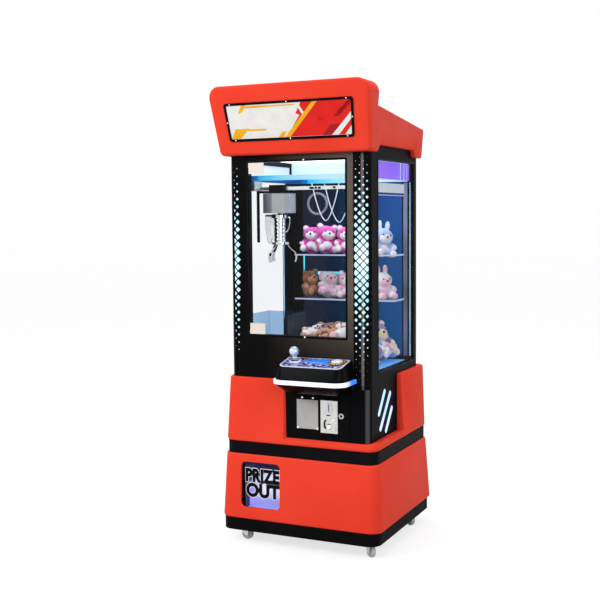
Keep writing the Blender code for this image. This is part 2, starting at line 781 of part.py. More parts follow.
def make_coin_door():
    x0, x1, z0, z1 = COIN_DOOR
    back, front = FRONT - GAP, FRONT - 0.0035
    door = piece("coin_door", box(x0, x1, front, back, z0, z1), roughness=0.4)
    acceptor_hole = box(0.108, 0.170, -0.3, -0.2, 0.4995, 0.6185)
    cut(door, acceptor_hole)
    lx, lz = LOCK
    cut(door, cylinder((lx, front, lz), (0, 1, 0), 0.0095, 0.02))
    face = front - GAP
    plate = piece(
        "blank_plate", box(-0.004, 0.090, face - 0.0022, face, 0.503, 0.622), (0.6, 0.6, 0.6), 0.4
    )
    bevel(plate, 0.0008, 1)
    acceptor = piece(
        "coin_acceptor",
        box(0.1025, 0.1765, face - 0.006, face, 0.493, 0.625),
        (0.75, 0.75, 0.74),
        0.25,
        0.9,
    )
    join(acceptor, box(0.1085, 0.1695, face - 0.003, -0.190, 0.500, 0.618))
    kx, kz = COIN_KNOB
    cut(acceptor, cylinder((kx, face - 0.006, kz), (0, 1, 0), 0.0115, 0.020))
    cut(acceptor, box(0.137, 0.141, -0.27, -0.2, 0.580, 0.608))
    knob = turned(
        ((0, 0), (0.011, 0), (0.011, 0.009), (0.0095, 0.0105), (0, 0.0105)),
        (kx, face - 0.0005, kz),
        (0, -1, 0),
    )
    piece("coin_return_button", knob, (0.75, 0.75, 0.74), 0.2, 1.0)
    lock = turned(
        ((0, -0.011), (0.009, -0.011), (0.009, 0.0008), (0.0118, 0.0008), (0.0118, 0.004), (0, 0.0045)),
        (lx, front, lz),
        (0, -1, 0),
    )
    barrel = piece("door_lock", lock, STEEL, 0.2, 1.0)
    join(barrel, box(lx - 0.007, lx + 0.007, front + 0.0085, front + 0.0105, lz - 0.036, lz + 0.007))


def narrowed(x, share):
    """A half width of the marquee, where share runs from 0 at its bottom to 1 at its top."""
    return x * (1 - MARQUEE_TAPER * (1 - share))


def make_marquee():
    lean = FASCIA_FRONT_TOP - FASCIA_FRONT_BOTTOM
    rise = MARQUEE_TOP - MARQUEE_BOTTOM

    def fascia_ring(front, inset):
        outline = rounded_outline(
            inset - MARQUEE_HALF, MARQUEE_HALF - inset, inset, rise - inset, 0.018, 0.052 - inset / 2
        )
        ring = []
        for x, up in outline:
            y = FASCIA_FRONT_BOTTOM + lean * up / rise if front else FASCIA_BACK
            ring.append(Vector((narrowed(x, up / rise), y, MARQUEE_BOTTOM + up)))
        return ring

    def moved(ring, step):
        return [point + Vector((0, step, 0)) for point in ring]

    def body(side, half):
        """A side view drawn out along X, with the marquee's taper."""
        mesh = extrude_outline(side, -half, half, axis="X")
        for vert in mesh.vertices:
            vert.co.x = narrowed(vert.co.x, (vert.co.z - MARQUEE_BOTTOM) / rise)
        return mesh

    edge = 0.006
    rings = [
        fascia_ring(True, edge),
        moved(fascia_ring(True, 0), edge),
        fascia_ring(False, 0),
    ]
    shell = piece("marquee_shell", loft(rings), RED, 0.35)
    step = 0.0008
    side = (
        (FASCIA_BACK - 0.03, MARQUEE_BOTTOM + step),
        (FASCIA_BACK - 0.03, ROOF_FRONT_Z),
        (MARQUEE_BACK, ROOF_BACK_Z),
        (MARQUEE_BACK, MARQUEE_BOTTOM),
        (0.254, MARQUEE_BOTTOM),
        (0.238, 1.634),
        (-0.166, 1.634),
        (-0.190, MARQUEE_BOTTOM + step),
    )
    join(shell, body(side, MARQUEE_HALF - step))
    wall = MARQUEE_WALL
    inside = [moved(fascia_ring(True, wall), wall), moved(fascia_ring(False, wall), -wall)]
    cut(shell, loft(inside))
    hollow = (
        (FASCIA_BACK - 0.02, 1.615),
        (FASCIA_BACK - 0.02, ROOF_FRONT_Z - wall),
        (MARQUEE_BACK - wall, ROOF_BACK_Z - wall),
        (MARQUEE_BACK - wall, 1.615),
    )
    cut(shell, body(hollow, MARQUEE_HALF - wall - step))
    cut(shell, box(-HALF - CLEAR, HALF + CLEAR, FRONT - CLEAR, MARQUEE_BACK - wall, 1.5, 1.650))
    fascia = bpy.data.objects.new("fascia_plane", None)
    PARTS.objects.link(fascia)
    fascia.location = (0, FASCIA_FRONT_BOTTOM, MARQUEE_BOTTOM)
    fascia.rotation_euler = (math.atan2(-lean, rise), 0, 0)
    height = math.hypot(lean, rise)

    def slab(half, low, high, radius, front, back):
        """A plate in the fascia's plane, with the marquee's taper."""
        outline = rounded_outline(-half, half, low, high, radius, radius)
        return extrude_outline([(narrowed(x, up / height), up) for x, up in outline], front, back, "Y")

    cut(shell, slab(0.278, 0.063, 0.204, 0.004, -0.05, 0.05), fascia)
    bezel = piece("marquee_bezel", slab(0.2844, 0.0565, 0.2105, 0.012, -0.0040, -GAP))
    bezel.parent = fascia
    cut(bezel, slab(0.2744, 0.0665, 0.2005, 0.006, -0.01, 0.01), fascia)
    panel = slab(0.277, 0.064, 0.203, 0.003, 0.0, 0.004)
    piece("marquee_panel", panel, (0.9, 0.35, 0.1), 0.3, parent=fascia)


def lump(name, x0, x1, y0, y1, z0, z1, colour):
    """A soft toy's outer shape: a rounded block."""
    block = piece(name, box(x0, x1, y0, y1, z0, z1), colour, 0.9)
    size = min(x1 - x0, y1 - y0, z1 - z0)
    bevel(block, size * 0.3, 3)
    return block


def make_prizes():
    for name, colour in (("shelf_upper", (0.75, 0.1, 0.45)), ("shelf_lower", (0.45, 0.25, 0.15))):
        z = SHELF_ZS[name] + GAP
        lump("plush_" + name, -0.155, 0.268, SHELF_FRONT + 0.01, 0.235, z, z + 0.112, colour)
    lump("plush_pile", -0.050, 0.270, -0.205, 0.270, DECK_TOP + GAP, 0.895, (0.5, 0.35, 0.3))


clear_scene()
PARTS = make_collection("claw_crane_machine")
CUTTERS = make_collection("cutters")
make_base()
make_casters()
make_cowls()
make_belt()
make_cabinet()
make_light_bars()
make_tower()
make_posts()
make_front_door()
make_side_glass()
make_rear_door()
make_prize_path()
make_shelves()
make_ceiling()
make_gantry()
make_claw()
make_console()
make_coin_door()
make_marquee()
make_prizes()
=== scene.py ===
"""Looks of the claw crane machine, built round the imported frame.

Metres, +Z up. The player stands on the -Y side.
"""

import math
import random

import bmesh
import bpy
from mathutils import Matrix, Vector


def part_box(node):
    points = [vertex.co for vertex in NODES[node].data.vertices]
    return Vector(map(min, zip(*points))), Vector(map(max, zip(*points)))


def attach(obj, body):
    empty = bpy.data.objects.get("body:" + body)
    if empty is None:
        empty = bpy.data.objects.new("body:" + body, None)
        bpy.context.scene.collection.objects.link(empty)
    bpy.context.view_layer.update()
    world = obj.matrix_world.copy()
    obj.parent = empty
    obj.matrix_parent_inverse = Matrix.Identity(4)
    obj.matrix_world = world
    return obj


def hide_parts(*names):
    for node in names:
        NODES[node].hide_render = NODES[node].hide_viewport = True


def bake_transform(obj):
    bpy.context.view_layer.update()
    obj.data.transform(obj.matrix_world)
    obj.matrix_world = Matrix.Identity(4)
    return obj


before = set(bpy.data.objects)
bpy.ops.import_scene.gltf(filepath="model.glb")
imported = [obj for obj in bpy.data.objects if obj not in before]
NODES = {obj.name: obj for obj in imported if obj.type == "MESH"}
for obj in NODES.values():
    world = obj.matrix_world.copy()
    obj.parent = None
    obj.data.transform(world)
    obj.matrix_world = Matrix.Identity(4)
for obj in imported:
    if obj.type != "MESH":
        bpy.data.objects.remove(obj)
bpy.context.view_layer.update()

# Places that the frame's boxes don't give
COWL_WALL = 0.006
CABINET_HALF = 0.308
CABINET_FRONT = -0.2465
CABINET_BACK = 0.329
CUTAWAY = (-0.055, 0.072, 0.459)
LOWER_COWL = ((0.1053, 0.357, -0.275, 0.3885), (0.3775, 0.343, -0.2625, 0.367))
LOWER_RADII = ((0.054, 0.028), (0.050, 0.026))
UPPER_COWL = ((0.429, 0.340, -0.263, 0.365), (0.699, 0.324, -0.255, 0.3845))
UPPER_RADII = ((0.050, 0.026), (0.046, 0.024))
PRIZE_MOUTH = (-0.258, -0.077, 0.153, 0.3465)
MARQUEE_HALF = 0.3485
MARQUEE_TAPER = 0.062
MARQUEE_BOTTOM = 1.605
MARQUEE_RISE = 0.272
FASCIA_FRONT = -0.2785
FASCIA_REACH = 0.072
FASCIA_BACK = -0.220
FASCIA_LEAN = math.atan2(FASCIA_REACH, MARQUEE_RISE)
FASCIA_HEIGHT = math.hypot(FASCIA_REACH, MARQUEE_RISE)
CONSOLE_RISE = 0.0245
CONSOLE_DEPTH = 0.115
CONSOLE_TILT = math.atan2(CONSOLE_RISE, CONSOLE_DEPTH)
CONSOLE_BACK = -0.2470
BUTTON_DOME = 0.018
CLAW = (-0.148, -0.100)
JOYSTICK = (0.010, -0.046)
BUTTON = (0.192, -0.046)
FORWARD = (0, -1, 0)

# Frames of the two sloping faces
FASCIA = Matrix.Translation((0, FASCIA_FRONT, MARQUEE_BOTTOM)) @ Matrix.Rotation(FASCIA_LEAN, 4, "X")
SLOPE = Matrix.Translation((0, CONSOLE_BACK, 0.790)) @ Matrix.Rotation(CONSOLE_TILT, 4, "X")


def rgb(red, green, blue):
    """A linear colour from display values of 0 to 255."""
    shares = [value / 255 for value in (red, green, blue)]
    return tuple(s / 12.92 if s < 0.04045 else ((s + 0.055) / 1.055) ** 2.4 for s in shares)


# ---------------------------------------------------------------- materials


def blank(name):
    material = bpy.data.materials.new(name)
    material.use_nodes = True
    return material, material.node_tree, material.node_tree.nodes["Principled BSDF"]


def plug(socket, value):
    """Links a socket to another, or sets its value."""
    if isinstance(value, bpy.types.NodeSocket):
        socket.id_data.links.new(value, socket)
    else:
        socket.default_value = value


def feed(node, **values):
    """Sets or links a node's inputs. A name's underscores stand for spaces."""
    for name, value in values.items():
        plug(node.inputs[name.replace("_", " ")], value)
    return node


def add(tree, kind, **values):
    return feed(tree.nodes.new("ShaderNode" + kind), **values)


def calc(tree, operation, *values):
    """The output of a Math node."""
    node = tree.nodes.new("ShaderNodeMath")
    node.operation = operation
    for socket, value in zip(node.inputs, values):
        plug(socket, value)
    return node.outputs[0]


def place(tree, stretch=(1, 1, 1)):
    """Object coordinates, stretched along each axis."""
    coordinates = tree.nodes.new("ShaderNodeTexCoord")
    return add(tree, "Mapping", Vector=coordinates.outputs["Object"], Scale=stretch).outputs[0]


def noise(tree, scale, detail=3.0, stretch=(1, 1, 1)):
    node = add(tree, "TexNoise", Vector=place(tree, stretch), Scale=scale, Detail=detail)
    return node.outputs["Fac"]


def ramp(tree, factor, *stops):
    """A colour ramp through (position, colour) stops."""
    node = add(tree, "ValToRGB", Fac=factor)
    points = node.color_ramp.elements
    while len(points) < len(stops):
        points.new(0.5)
    for point, (position, colour) in zip(points, stops):
        point.position = position
        point.color = (*colour, 1)
    return node.outputs["Color"]


def spread(tree, factor, low, high, start=0.3, end=0.7):
    node = add(tree, "MapRange", Value=factor)
    node.inputs["From Min"].default_value = start
    node.inputs["From Max"].default_value = end
    node.inputs["To Min"].default_value = low
    node.inputs["To Max"].default_value = high
    return node.outputs[0]


def along(tree, axis):
    """The object coordinate along one axis, in metres."""
    return add(tree, "SeparateXYZ", Vector=place(tree)).outputs[axis]


def projected(tree, direction):
    """The distance along a direction, in metres."""
    node = add(tree, "VectorMath", Vector=place(tree))
    node.operation = "DOT_PRODUCT"
    node.inputs[1].default_value = direction
    return node.outputs["Value"]


def gloss(tree, low, high, scale=300, detail=2):
    """A roughness that drifts between two levels."""
    return spread(tree, noise(tree, scale, detail), low, high)


def relief(tree, shader, height, strength, depth):
    bump = add(tree, "Bump", Height=height, Strength=strength, Distance=depth)
    feed(shader, Normal=bump.outputs["Normal"])


def surface(name, light, dark, rough=(0.30, 0.40), mottle=7, grain=500, bump=0.15, depth=0.0003,
            stretch=(1, 1, 1), **fixed):
    """Colour that drifts between two shades, with a fine grain in its gloss and relief."""
    material, tree, shader = blank(name)
    shade = ramp(tree, noise(tree, mottle, 4, stretch), (0.3, rgb(*light)), (0.7, rgb(*dark)))
    fine = noise(tree, grain, 2, stretch)
    feed(shader, Base_Color=shade, Roughness=spread(tree, fine, *rough), **fixed)
    relief(tree, shader, fine, bump, depth)
    return material


def glow(tree, shader, factor, stops, strength):
    """Lights a surface in a ramp's colours, over a dimmed base colour."""
    dim = [(at, tuple(c * 0.3 for c in colour)) for at, colour in stops]
    feed(
        shader, Base_Color=ramp(tree, factor, *dim), Emission_Color=ramp(tree, factor, *stops),
        Emission_Strength=strength, Specular_IOR_Level=0.2, Roughness=gloss(tree, 0.35, 0.5),
    )


def lit(name, colour, other, strength, mottle=12, axis=None, start=0.0, end=1.0):
    """A glowing surface, for lamp covers and for painted light: its colour drifts, or runs along an axis."""
    material, tree, shader = blank(name)
    colour, other = rgb(*colour), rgb(*other)
    if axis is None:
        glow(tree, shader, noise(tree, mottle, 2), ((0.3, colour), (0.7, other)), strength)
    else:
        factor = spread(tree, along(tree, axis), 0, 1, start, end)
        glow(tree, shader, factor, ((0.0, colour), (1.0, other)), strength)
    return material


def glass(name, tint, haze, mirror=1.0):
    """A thin pane: it passes light with a tint, and mirrors by its angle."""
    material, tree, shader = blank(name)
    hazy = tuple(c * (1 - haze) for c in tint)
    through = add(tree, "BsdfTransparent", Color=ramp(tree, noise(tree, 5, 3), (0.3, tint), (0.7, hazy)))
    feed(
        shader, Base_Color=(*(c * 0.5 for c in tint), 1), Roughness=gloss(tree, 0.03, 0.06, 40, 3),
        Specular_IOR_Level=1.0,
    )
    facing = tree.nodes.new("ShaderNodeLayerWeight").outputs["Facing"]
    share = calc(tree, "MULTIPLY_ADD", calc(tree, "POWER", facing, 5), mirror, 0.004 + haze * 0.3)
    mix = tree.nodes.new("ShaderNodeMixShader")
    for socket, source in zip(mix.inputs, (share, through.outputs[0], shader.outputs[0])):
        plug(socket, source)
    feed(tree.nodes["Material Output"], Surface=mix.outputs[0])
    return material


def fur(name, light, dark):
    return surface(
        name, light, dark, rough=(0.75, 0.95), mottle=60, grain=900, bump=0.7, depth=0.0015,
        Sheen_Weight=0.5, Sheen_Roughness=0.5,
    )


RED = surface(
    "red moulding", (244, 73, 52), (238, 64, 45), rough=(0.36, 0.44), mottle=3, grain=700, bump=0.05,
    Specular_IOR_Level=0.02,
)
BLACK = surface(
    "black powder coat", (17, 17, 18), (12, 12, 13), rough=(0.42, 0.55), mottle=6, grain=900, bump=0.2,
    Specular_IOR_Level=0.012,
)
GLOSS = surface(
    "black moulding", (12, 12, 15), (8, 8, 11), rough=(0.20, 0.28), mottle=5, grain=400, bump=0.03,
    Specular_IOR_Level=0.025,
)
BELT = surface(
    "belt sheet", (20, 19, 21), (14, 14, 16), rough=(0.38, 0.50), mottle=9, grain=350, Specular_IOR_Level=0.015
)
NAVY = surface(
    "navy lining", (10, 18, 40), (7, 12, 26), rough=(0.25, 0.4), mottle=8, grain=300, Specular_IOR_Level=0.1
)
STEEL = surface(
    "zinc plated steel", (205, 205, 208), (178, 180, 186), rough=(0.24, 0.40), mottle=90, Metallic=1.0
)
BRUSHED = surface(
    "brushed steel", (214, 213, 208), (190, 190, 188), rough=(0.26, 0.40), mottle=60, grain=220,
    stretch=(1, 1, 14), Metallic=0.85,
)
CHROME = surface(
    "chrome", (226, 228, 232), (208, 212, 218), rough=(0.05, 0.11), mottle=40, grain=300, bump=0.03,
    Metallic=1.0,
)
GREY = surface(
    "grey satin cover", (168, 169, 174), (152, 154, 160), rough=(0.34, 0.44), mottle=12, Metallic=0.35
)
PLATE = surface("bare grey plate", (182, 181, 178), (172, 171, 169), rough=(0.4, 0.5), mottle=30)
CREAM = surface("pale patch", (232, 222, 210), (224, 214, 203), rough=(0.42, 0.55), mottle=30)
TRIM = surface("rear trim", (120, 130, 160), (98, 106, 136), rough=(0.3, 0.4), mottle=9)
RUBBER = surface("grey rubber", (206, 205, 200), (186, 185, 180), rough=(0.5, 0.65), mottle=70)
SILVER = surface(
    "silver fascia", (232, 233, 242), (216, 218, 230), rough=(0.22, 0.32), mottle=30, Coat_Weight=0.5
)
BALL = surface(
    "silver ball", (214, 224, 246), (176, 190, 226), rough=(0.08, 0.16), mottle=50, grain=200, bump=0.02,
    Metallic=0.55, Coat_Weight=0.6,
)
GOLD = surface("gold ring", (196, 164, 70), (150, 118, 40), rough=(0.2, 0.34), mottle=120, Metallic=0.9)
CABLE = surface("pale cable", (228, 232, 238), (206, 212, 222), rough=(0.35, 0.5), mottle=60)
INK = surface("black print", (9, 10, 22), (6, 6, 14), rough=(0.35, 0.45), mottle=60, Specular_IOR_Level=0.05)
PAPER = surface("white print", (236, 236, 246), (222, 222, 238), rough=(0.35, 0.45), mottle=60)
SPEAKER = surface("speaker ring", (150, 150, 164), (120, 120, 136), rough=(0.3, 0.4), mottle=30, grain=300)
ART_WHITE = lit("pale print", (240, 238, 234), (230, 226, 222), 0.68, mottle=20)
ART_AMBER = lit("amber print", (252, 192, 30), (248, 174, 16), 0.6, mottle=20)
ART_RED = lit("red print", (236, 34, 24), (222, 24, 20), 0.65, mottle=14)
ART_DEEP = lit("deep red print", (178, 14, 16), (158, 10, 14), 0.6, mottle=14)
CLEAR = glass("clear glass", (0.985, 0.99, 0.99), 0.01, mirror=0.45)
SIDE_CLEAR = glass("side glass", (0.975, 0.985, 0.995), 0.004, mirror=0.12)
ACRYLIC = glass("clear acrylic", (0.86, 0.93, 0.97), 0.10)
GUARD = glass("tinted acrylic", (0.62, 0.76, 0.92), 0.10)
FLAP = glass("flap acrylic", (0.93, 0.93, 0.98), 0.03, mirror=0.5)
# Painted highlight: glowing strips on the acrylic shelves' edges.
EDGE_GLINT = lit("acrylic edge", (176, 190, 240), (210, 218, 250), 0.6, mottle=30)
STRIP = lit("console strip", (232, 242, 255), (60, 135, 250), 1.0, axis=1, start=-0.350, end=-0.300)
BARS = lit("light bars", (206, 228, 255), (168, 208, 255), 1.1)
POST_LIGHT = lit("post diffuser", (225, 248, 255), (168, 230, 250), 1.2, mottle=6)
CEILING = lit("ceiling cover", (240, 246, 255), (224, 240, 255), 4.0, mottle=4)
# The three header panels glow as painted light: pale at the rear and left, violet on the right.
HEADER_BACK = lit("rear header light", (222, 232, 255), (206, 238, 255), 0.72, mottle=5)
HEADER_SIDE = lit("side header light", (126, 84, 240), (150, 96, 226), 0.85, mottle=9)
HEADER_LEFT = lit("left header light", (206, 228, 255), (220, 236, 255), 0.68, mottle=6)
LED = lit("led dots", (120, 200, 255), (190, 230, 255), 1.8)
TEAL = lit("teal strip", (60, 210, 235), (120, 230, 245), 1.2)
SCREEN = lit("blue screen", (20, 96, 226), (52, 140, 246), 0.9, mottle=60)
PINK = fur("magenta plush", (226, 74, 178), (196, 48, 150))
WHITE = fur("white plush", (244, 238, 242), (226, 220, 228))
BROWN = fur("brown plush", (150, 92, 62), (122, 70, 46))
TAN = fur("tan plush", (206, 150, 112), (186, 128, 92))
BLUE = fur("pale blue plush", (176, 196, 240), (150, 172, 226))
STRAW = fur("cream plush", (246, 240, 200), (232, 224, 178))
ROSE = fur("pale pink plush", (248, 200, 220), (238, 176, 204))
LILAC = fur("lilac plush", (170, 140, 190), (142, 114, 166))
EYES = surface("toy eyes", (20, 18, 18), (10, 10, 10), rough=(0.08, 0.14), mottle=100)


def product(tree, *factors):
    """The product of factors from 0 to 1."""
    whole = factors[0]
    for factor in factors[1:]:
        whole = calc(tree, "MULTIPLY", whole, factor)
    return whole


def blended(tree, share, first, second):
    """A colour between two, by share."""
    node = tree.nodes.new("ShaderNodeMix")
    node.data_type = "RGBA"
    plug(node.inputs["Factor"], share)
    for value, socket in zip((first, second), [i for i in node.inputs if i.type == "RGBA"]):
        plug(socket, value if isinstance(value, bpy.types.NodeSocket) else (*value, 1))
    return [o for o in node.outputs if o.type == "RGBA"][0]


def sheet_steel(name, light, dark, corner, facing, highlight_span, stile_sheen=None):
    """Black sheet with a painted highlight on its round corner, and a painted sheen on the tower's front frame,
    paler to the right and upwards.
    """
    material, tree, shader = blank(name)
    shade = ramp(tree, noise(tree, 3, 4), (0.3, rgb(*light)), (0.7, rgb(*dark)))
    # Painted highlight: paler where the surface faces the given direction, on the round corner.
    shade = blended(tree, spread(tree, projected(tree, facing), 0, 1, *highlight_span), shade, rgb(*corner))
    # Painted sheen on the front frame beside the window, paler to the right and upwards.
    if stile_sheen:
        x, y, z = (along(tree, axis) for axis in range(3))
        share = product(
            tree,
            spread(tree, x, 0, 1, -0.15, 0.22),
            spread(tree, x, 1, 0, 0.2425, 0.2435),
            spread(tree, y, 1, 0, -0.235, -0.225),
            spread(tree, z, 0.25, 1, 0.80, 1.05),
        )
        shade = blended(tree, share, shade, rgb(*stile_sheen))
    fine = noise(tree, 900, 2)
    feed(shader, Base_Color=shade, Roughness=spread(tree, fine, 0.32, 0.42), Specular_IOR_Level=0.012)
    relief(tree, shader, fine, 0.08, 0.0003)
    return material


# Both finishes carry a painted highlight on their round corner; the tower's also has a painted sheen on its
# front frame.
SATIN = sheet_steel(
    "black satin tower", (17, 16, 16), (12, 12, 13), (110, 104, 102), (0.206, -0.9786, 0), (0.2977, 0.2982),
    stile_sheen=(98, 88, 80),
)
CABINET = sheet_steel(
    "black cabinet", (15, 15, 17), (11, 11, 13), (84, 82, 84), (0.7071, -0.7071, 0), (0.3752, 0.3779)
)


def lock_look():
    """Chrome lock with painted shade for its keyway: a dark centre."""
    material, tree, shader = blank("lock")
    flat = add(tree, "VectorMath", Vector=place(tree, (1, 0, 1)))
    flat.operation = "DISTANCE"
    flat.inputs[1].default_value = (0.1915, 0, 0.565)
    # Painted shade: dark in the middle, where the keyway is.
    shade = ramp(
        tree,
        spread(tree, flat.outputs["Value"], 0, 1, 0.0, 0.0125),
        (0.0, rgb(12, 12, 14)),
        (0.42, rgb(16, 16, 18)),
        (0.52, rgb(200, 200, 205)),
        (1.0, rgb(120, 120, 126)),
    )
    feed(shader, Base_Color=shade, Metallic=0.9, Roughness=gloss(tree, 0.2, 0.35))
    return material


def button_look():
    """Pale dome on a gold and black flank."""
    material, tree, shader = blank("button dome")
    up = Vector((0, -math.sin(CONSOLE_TILT), math.cos(CONSOLE_TILT)))
    foot = SLOPE.translation.dot(up)
    level = spread(tree, projected(tree, up), 0, 1, foot, foot + BUTTON_DOME)
    streaks = ramp(tree, noise(tree, 160, 2), (0.42, rgb(40, 34, 12)), (0.56, rgb(232, 190, 40)))
    top = ramp(tree, noise(tree, 60, 2), (0.3, rgb(226, 226, 246)), (0.7, rgb(206, 208, 240)))
    shade = blended(tree, spread(tree, level, 0, 1, 0.60, 0.64), streaks, top)
    feed(shader, Base_Color=shade, Coat_Weight=0.3, Roughness=gloss(tree, 0.15, 0.25))
    return material


def light_band():
    """Painted light on the gantry rails: blue at the left end, pale cyan over the rest."""
    material, tree, shader = blank("light band")
    stops = (
        (0.0, rgb(10, 70, 140)),
        (0.08, rgb(14, 112, 190)),
        (0.10, rgb(24, 182, 238)),
        (0.33, rgb(128, 214, 248)),
        (0.65, rgb(182, 230, 250)),
        (1.0, rgb(200, 236, 250)),
    )
    glow(tree, shader, spread(tree, along(tree, 0), 0, 1, -0.23, 0.23), stops, 0.75)
    return material


def tray():
    """Moulded prize tray, violet and pale, that glows as painted light, with painted shade at its left, top and
    upper back.
    """
    material, tree, shader = blank("prize tray")
    shade = ramp(
        tree,
        spread(tree, along(tree, 1), 0, 1, -0.240, -0.035),
        (0.0, rgb(150, 150, 226)),
        (0.5, rgb(176, 176, 236)),
        (0.62, rgb(222, 220, 240)),
        (1.0, rgb(232, 230, 240)),
    )
    # Painted shade: dark navy on the left wall, the top and the upper back.
    x, y, z = (along(tree, axis) for axis in range(3))
    left = product(tree, spread(tree, x, 1, 0, -0.2480, -0.2475), spread(tree, y, 1, 0, -0.206, -0.202))
    top = spread(tree, z, 0, 1, 0.240, 0.250)
    back = product(tree, spread(tree, y, 0, 1, -0.0420, -0.0415), spread(tree, z, 0, 1, 0.235, 0.240))
    for share in (left, top, back):
        shade = blended(tree, share, shade, rgb(22, 24, 58))
    # The emission is painted light.
    feed(shader, Base_Color=shade, Emission_Color=shade, Emission_Strength=0.6, Roughness=gloss(tree, 0.4, 0.5))
    return material


def lining(name, start, end, stops, dim, strength, scale, rough):
    """Dark sheet with painted blue light that grows towards the right glass."""
    material, tree, shader = blank(name)
    stops = [(at, rgb(*colour)) for at, colour in stops]
    shade = ramp(tree, spread(tree, along(tree, 0), 0, 1, start, end), *stops)
    feed(
        shader, Base_Color=add(tree, "BrightContrast", Color=shade, Bright=dim).outputs[0],
        Emission_Color=shade, Emission_Strength=strength, Specular_IOR_Level=0.1,
        Roughness=gloss(tree, *rough, scale, 3),
    )
    return material


# The play field deck and the rear lining glow as painted light.
DECK = lining(
    "play field deck", 0.0, 0.28,
    ((0.0, (10, 18, 40)), (0.55, (26, 70, 130)), (0.80, (84, 158, 226)), (1.0, (120, 190, 242))),
    -0.04, 0.55, 60, (0.3, 0.45),
)
BACK_WALL = lining(
    "back lining", -0.25, 0.28,
    ((0.0, (16, 24, 48)), (0.34, (12, 34, 62)), (0.50, (6, 58, 90)), (0.66, (4, 70, 110)), (1.0, (2, 80, 128))),
    -0.06, 0.75, 30, (0.12, 0.3),
)


def panel_print():
    """Blue and violet flecks on a pale ground."""
    material, tree, shader = blank("console print")
    cells = add(tree, "TexVoronoi", Vector=place(tree), Scale=48.0, Randomness=1.0)
    cloud = noise(tree, 26, 4)
    shade = ramp(
        tree,
        calc(tree, "MULTIPLY_ADD", cloud, cells.outputs["Distance"], 0.16),
        (0.25, rgb(206, 214, 246)),
        (0.33, rgb(180, 190, 234)),
        (0.36, rgb(56, 68, 160)),
        (0.47, rgb(32, 40, 116)),
        (0.51, rgb(140, 150, 214)),
    )
    feed(shader, Base_Color=shade, Roughness=spread(tree, cloud, 0.2, 0.32), Coat_Weight=0.5)
    return material


# ---------------------------------------------------------------- mesh tools


def made_mesh(bm, name):
    mesh = bpy.data.meshes.new(name)
    bm.to_mesh(mesh)
    bm.free()
    return mesh


def finished(bm, name):
    bmesh.ops.recalc_face_normals(bm, faces=bm.faces)
    return made_mesh(bm, name)


def circle(steps):
    """Directions round a circle, as (cosine, sine)."""
    return [(math.cos(math.tau * step / steps), math.sin(math.tau * step / steps)) for step in range(steps)]


def loft(rings):
    """A closed solid through rings with the same number of points."""
    bm = bmesh.new()
    levels = [[bm.verts.new(point) for point in ring] for ring in rings]
    for low, high in zip(levels, levels[1:]):
        for index in range(len(low)):
            after = (index + 1) % len(low)
            bm.faces.new((low[index], low[after], high[after], high[index]))
    bm.faces.new(levels[0][::-1])
    bm.faces.new(levels[-1])
    return finished(bm, "loft")


def outline(x0, x1, y0, y1, near, far, steps=8):
    """Points round a rectangle, with one radius at the near corners and one at the far."""
    points = []
    corners = (
        (x0 + near, y0 + near, near, 180),
        (x1 - near, y0 + near, near, 270),
        (x1 - far, y1 - far, far, 0),
        (x0 + far, y1 - far, far, 90),
    )
    for x, y, radius, start in corners:
        for step in range(steps + 1):
            angle = math.radians(start + 90 * step / steps)
            points.append((x + radius * math.cos(angle), y + radius * math.sin(angle)))
    return points


def drawn(points, low, high, axis="Z"):
    """A flat outline drawn out along one axis."""
    order = {"Z": (0, 1, 2), "Y": (0, 2, 1), "X": (2, 0, 1)}[axis]
    return loft([[tuple((u, v, level)[i] for i in order) for u, v in points] for level in (low, high)])


def moved(mesh, matrix):
    mesh.transform(matrix)
    return mesh


def box(x0, x1, y0, y1, z0, z1):
    return drawn([(x0, y0), (x1, y0), (x1, y1), (x0, y1)], z0, z1)


def turned(profile, centre=(0, 0, 0), axis=(0, 0, 1), segments=32):
    """A solid of revolution through (radius, distance along the axis)."""
    turn = Vector((0, 0, 1)).rotation_difference(Vector(axis)).to_matrix()
    bm = bmesh.new()
    levels = []
    for radius, height in profile:
        spots = circle(segments) if radius > 1e-6 else [(1, 0)]
        points = (Vector((radius * c, radius * s, height)) for c, s in spots)
        levels.append([bm.verts.new(turn @ point + Vector(centre)) for point in points])
    for low, high in zip(levels, levels[1:]):
        for step in range(segments):
            after = (step + 1) % segments
            turns = ((low, step), (low, after), (high, after), (high, step))
            unique = list(dict.fromkeys(ring[index % len(ring)] for ring, index in turns))
            if len(unique) > 2:
                bm.faces.new(unique)
    for ring, flip in ((levels[0], -1), (levels[-1], 1)):
        if len(ring) > 2:
            bm.faces.new(ring[::flip])
    return finished(bm, "turned")


def ring_mesh(profile, centre=(0, 0, 0), segments=40):
    """A closed ring turned from a closed profile."""
    x, y, z = centre
    bm = bmesh.new()
    levels = [[bm.verts.new((x + r * c, y + r * s, z + h)) for r, h in profile] for c, s in circle(segments)]
    for low, high in zip(levels, levels[1:] + levels[:1]):
        for index in range(len(profile)):
            after = (index + 1) % len(profile)
            bm.faces.new((low[index], low[after], high[after], high[index]))
    return finished(bm, "ring")


def tube(points, radius, sides=10):
    """A round tube along points."""
    path = [Vector(point) for point in points]
    rings, up = [], Vector((0.123, 0.456, 0.881))
    for before, point, after in zip([path[0], *path], path, [*path[1:], path[-1]]):
        ahead = (after - before).normalized()
        side = ahead.cross(up).normalized()
        up = side.cross(ahead)
        rings.append([point + radius * (c * side + s * up) for c, s in circle(sides)])
    return loft(rings)


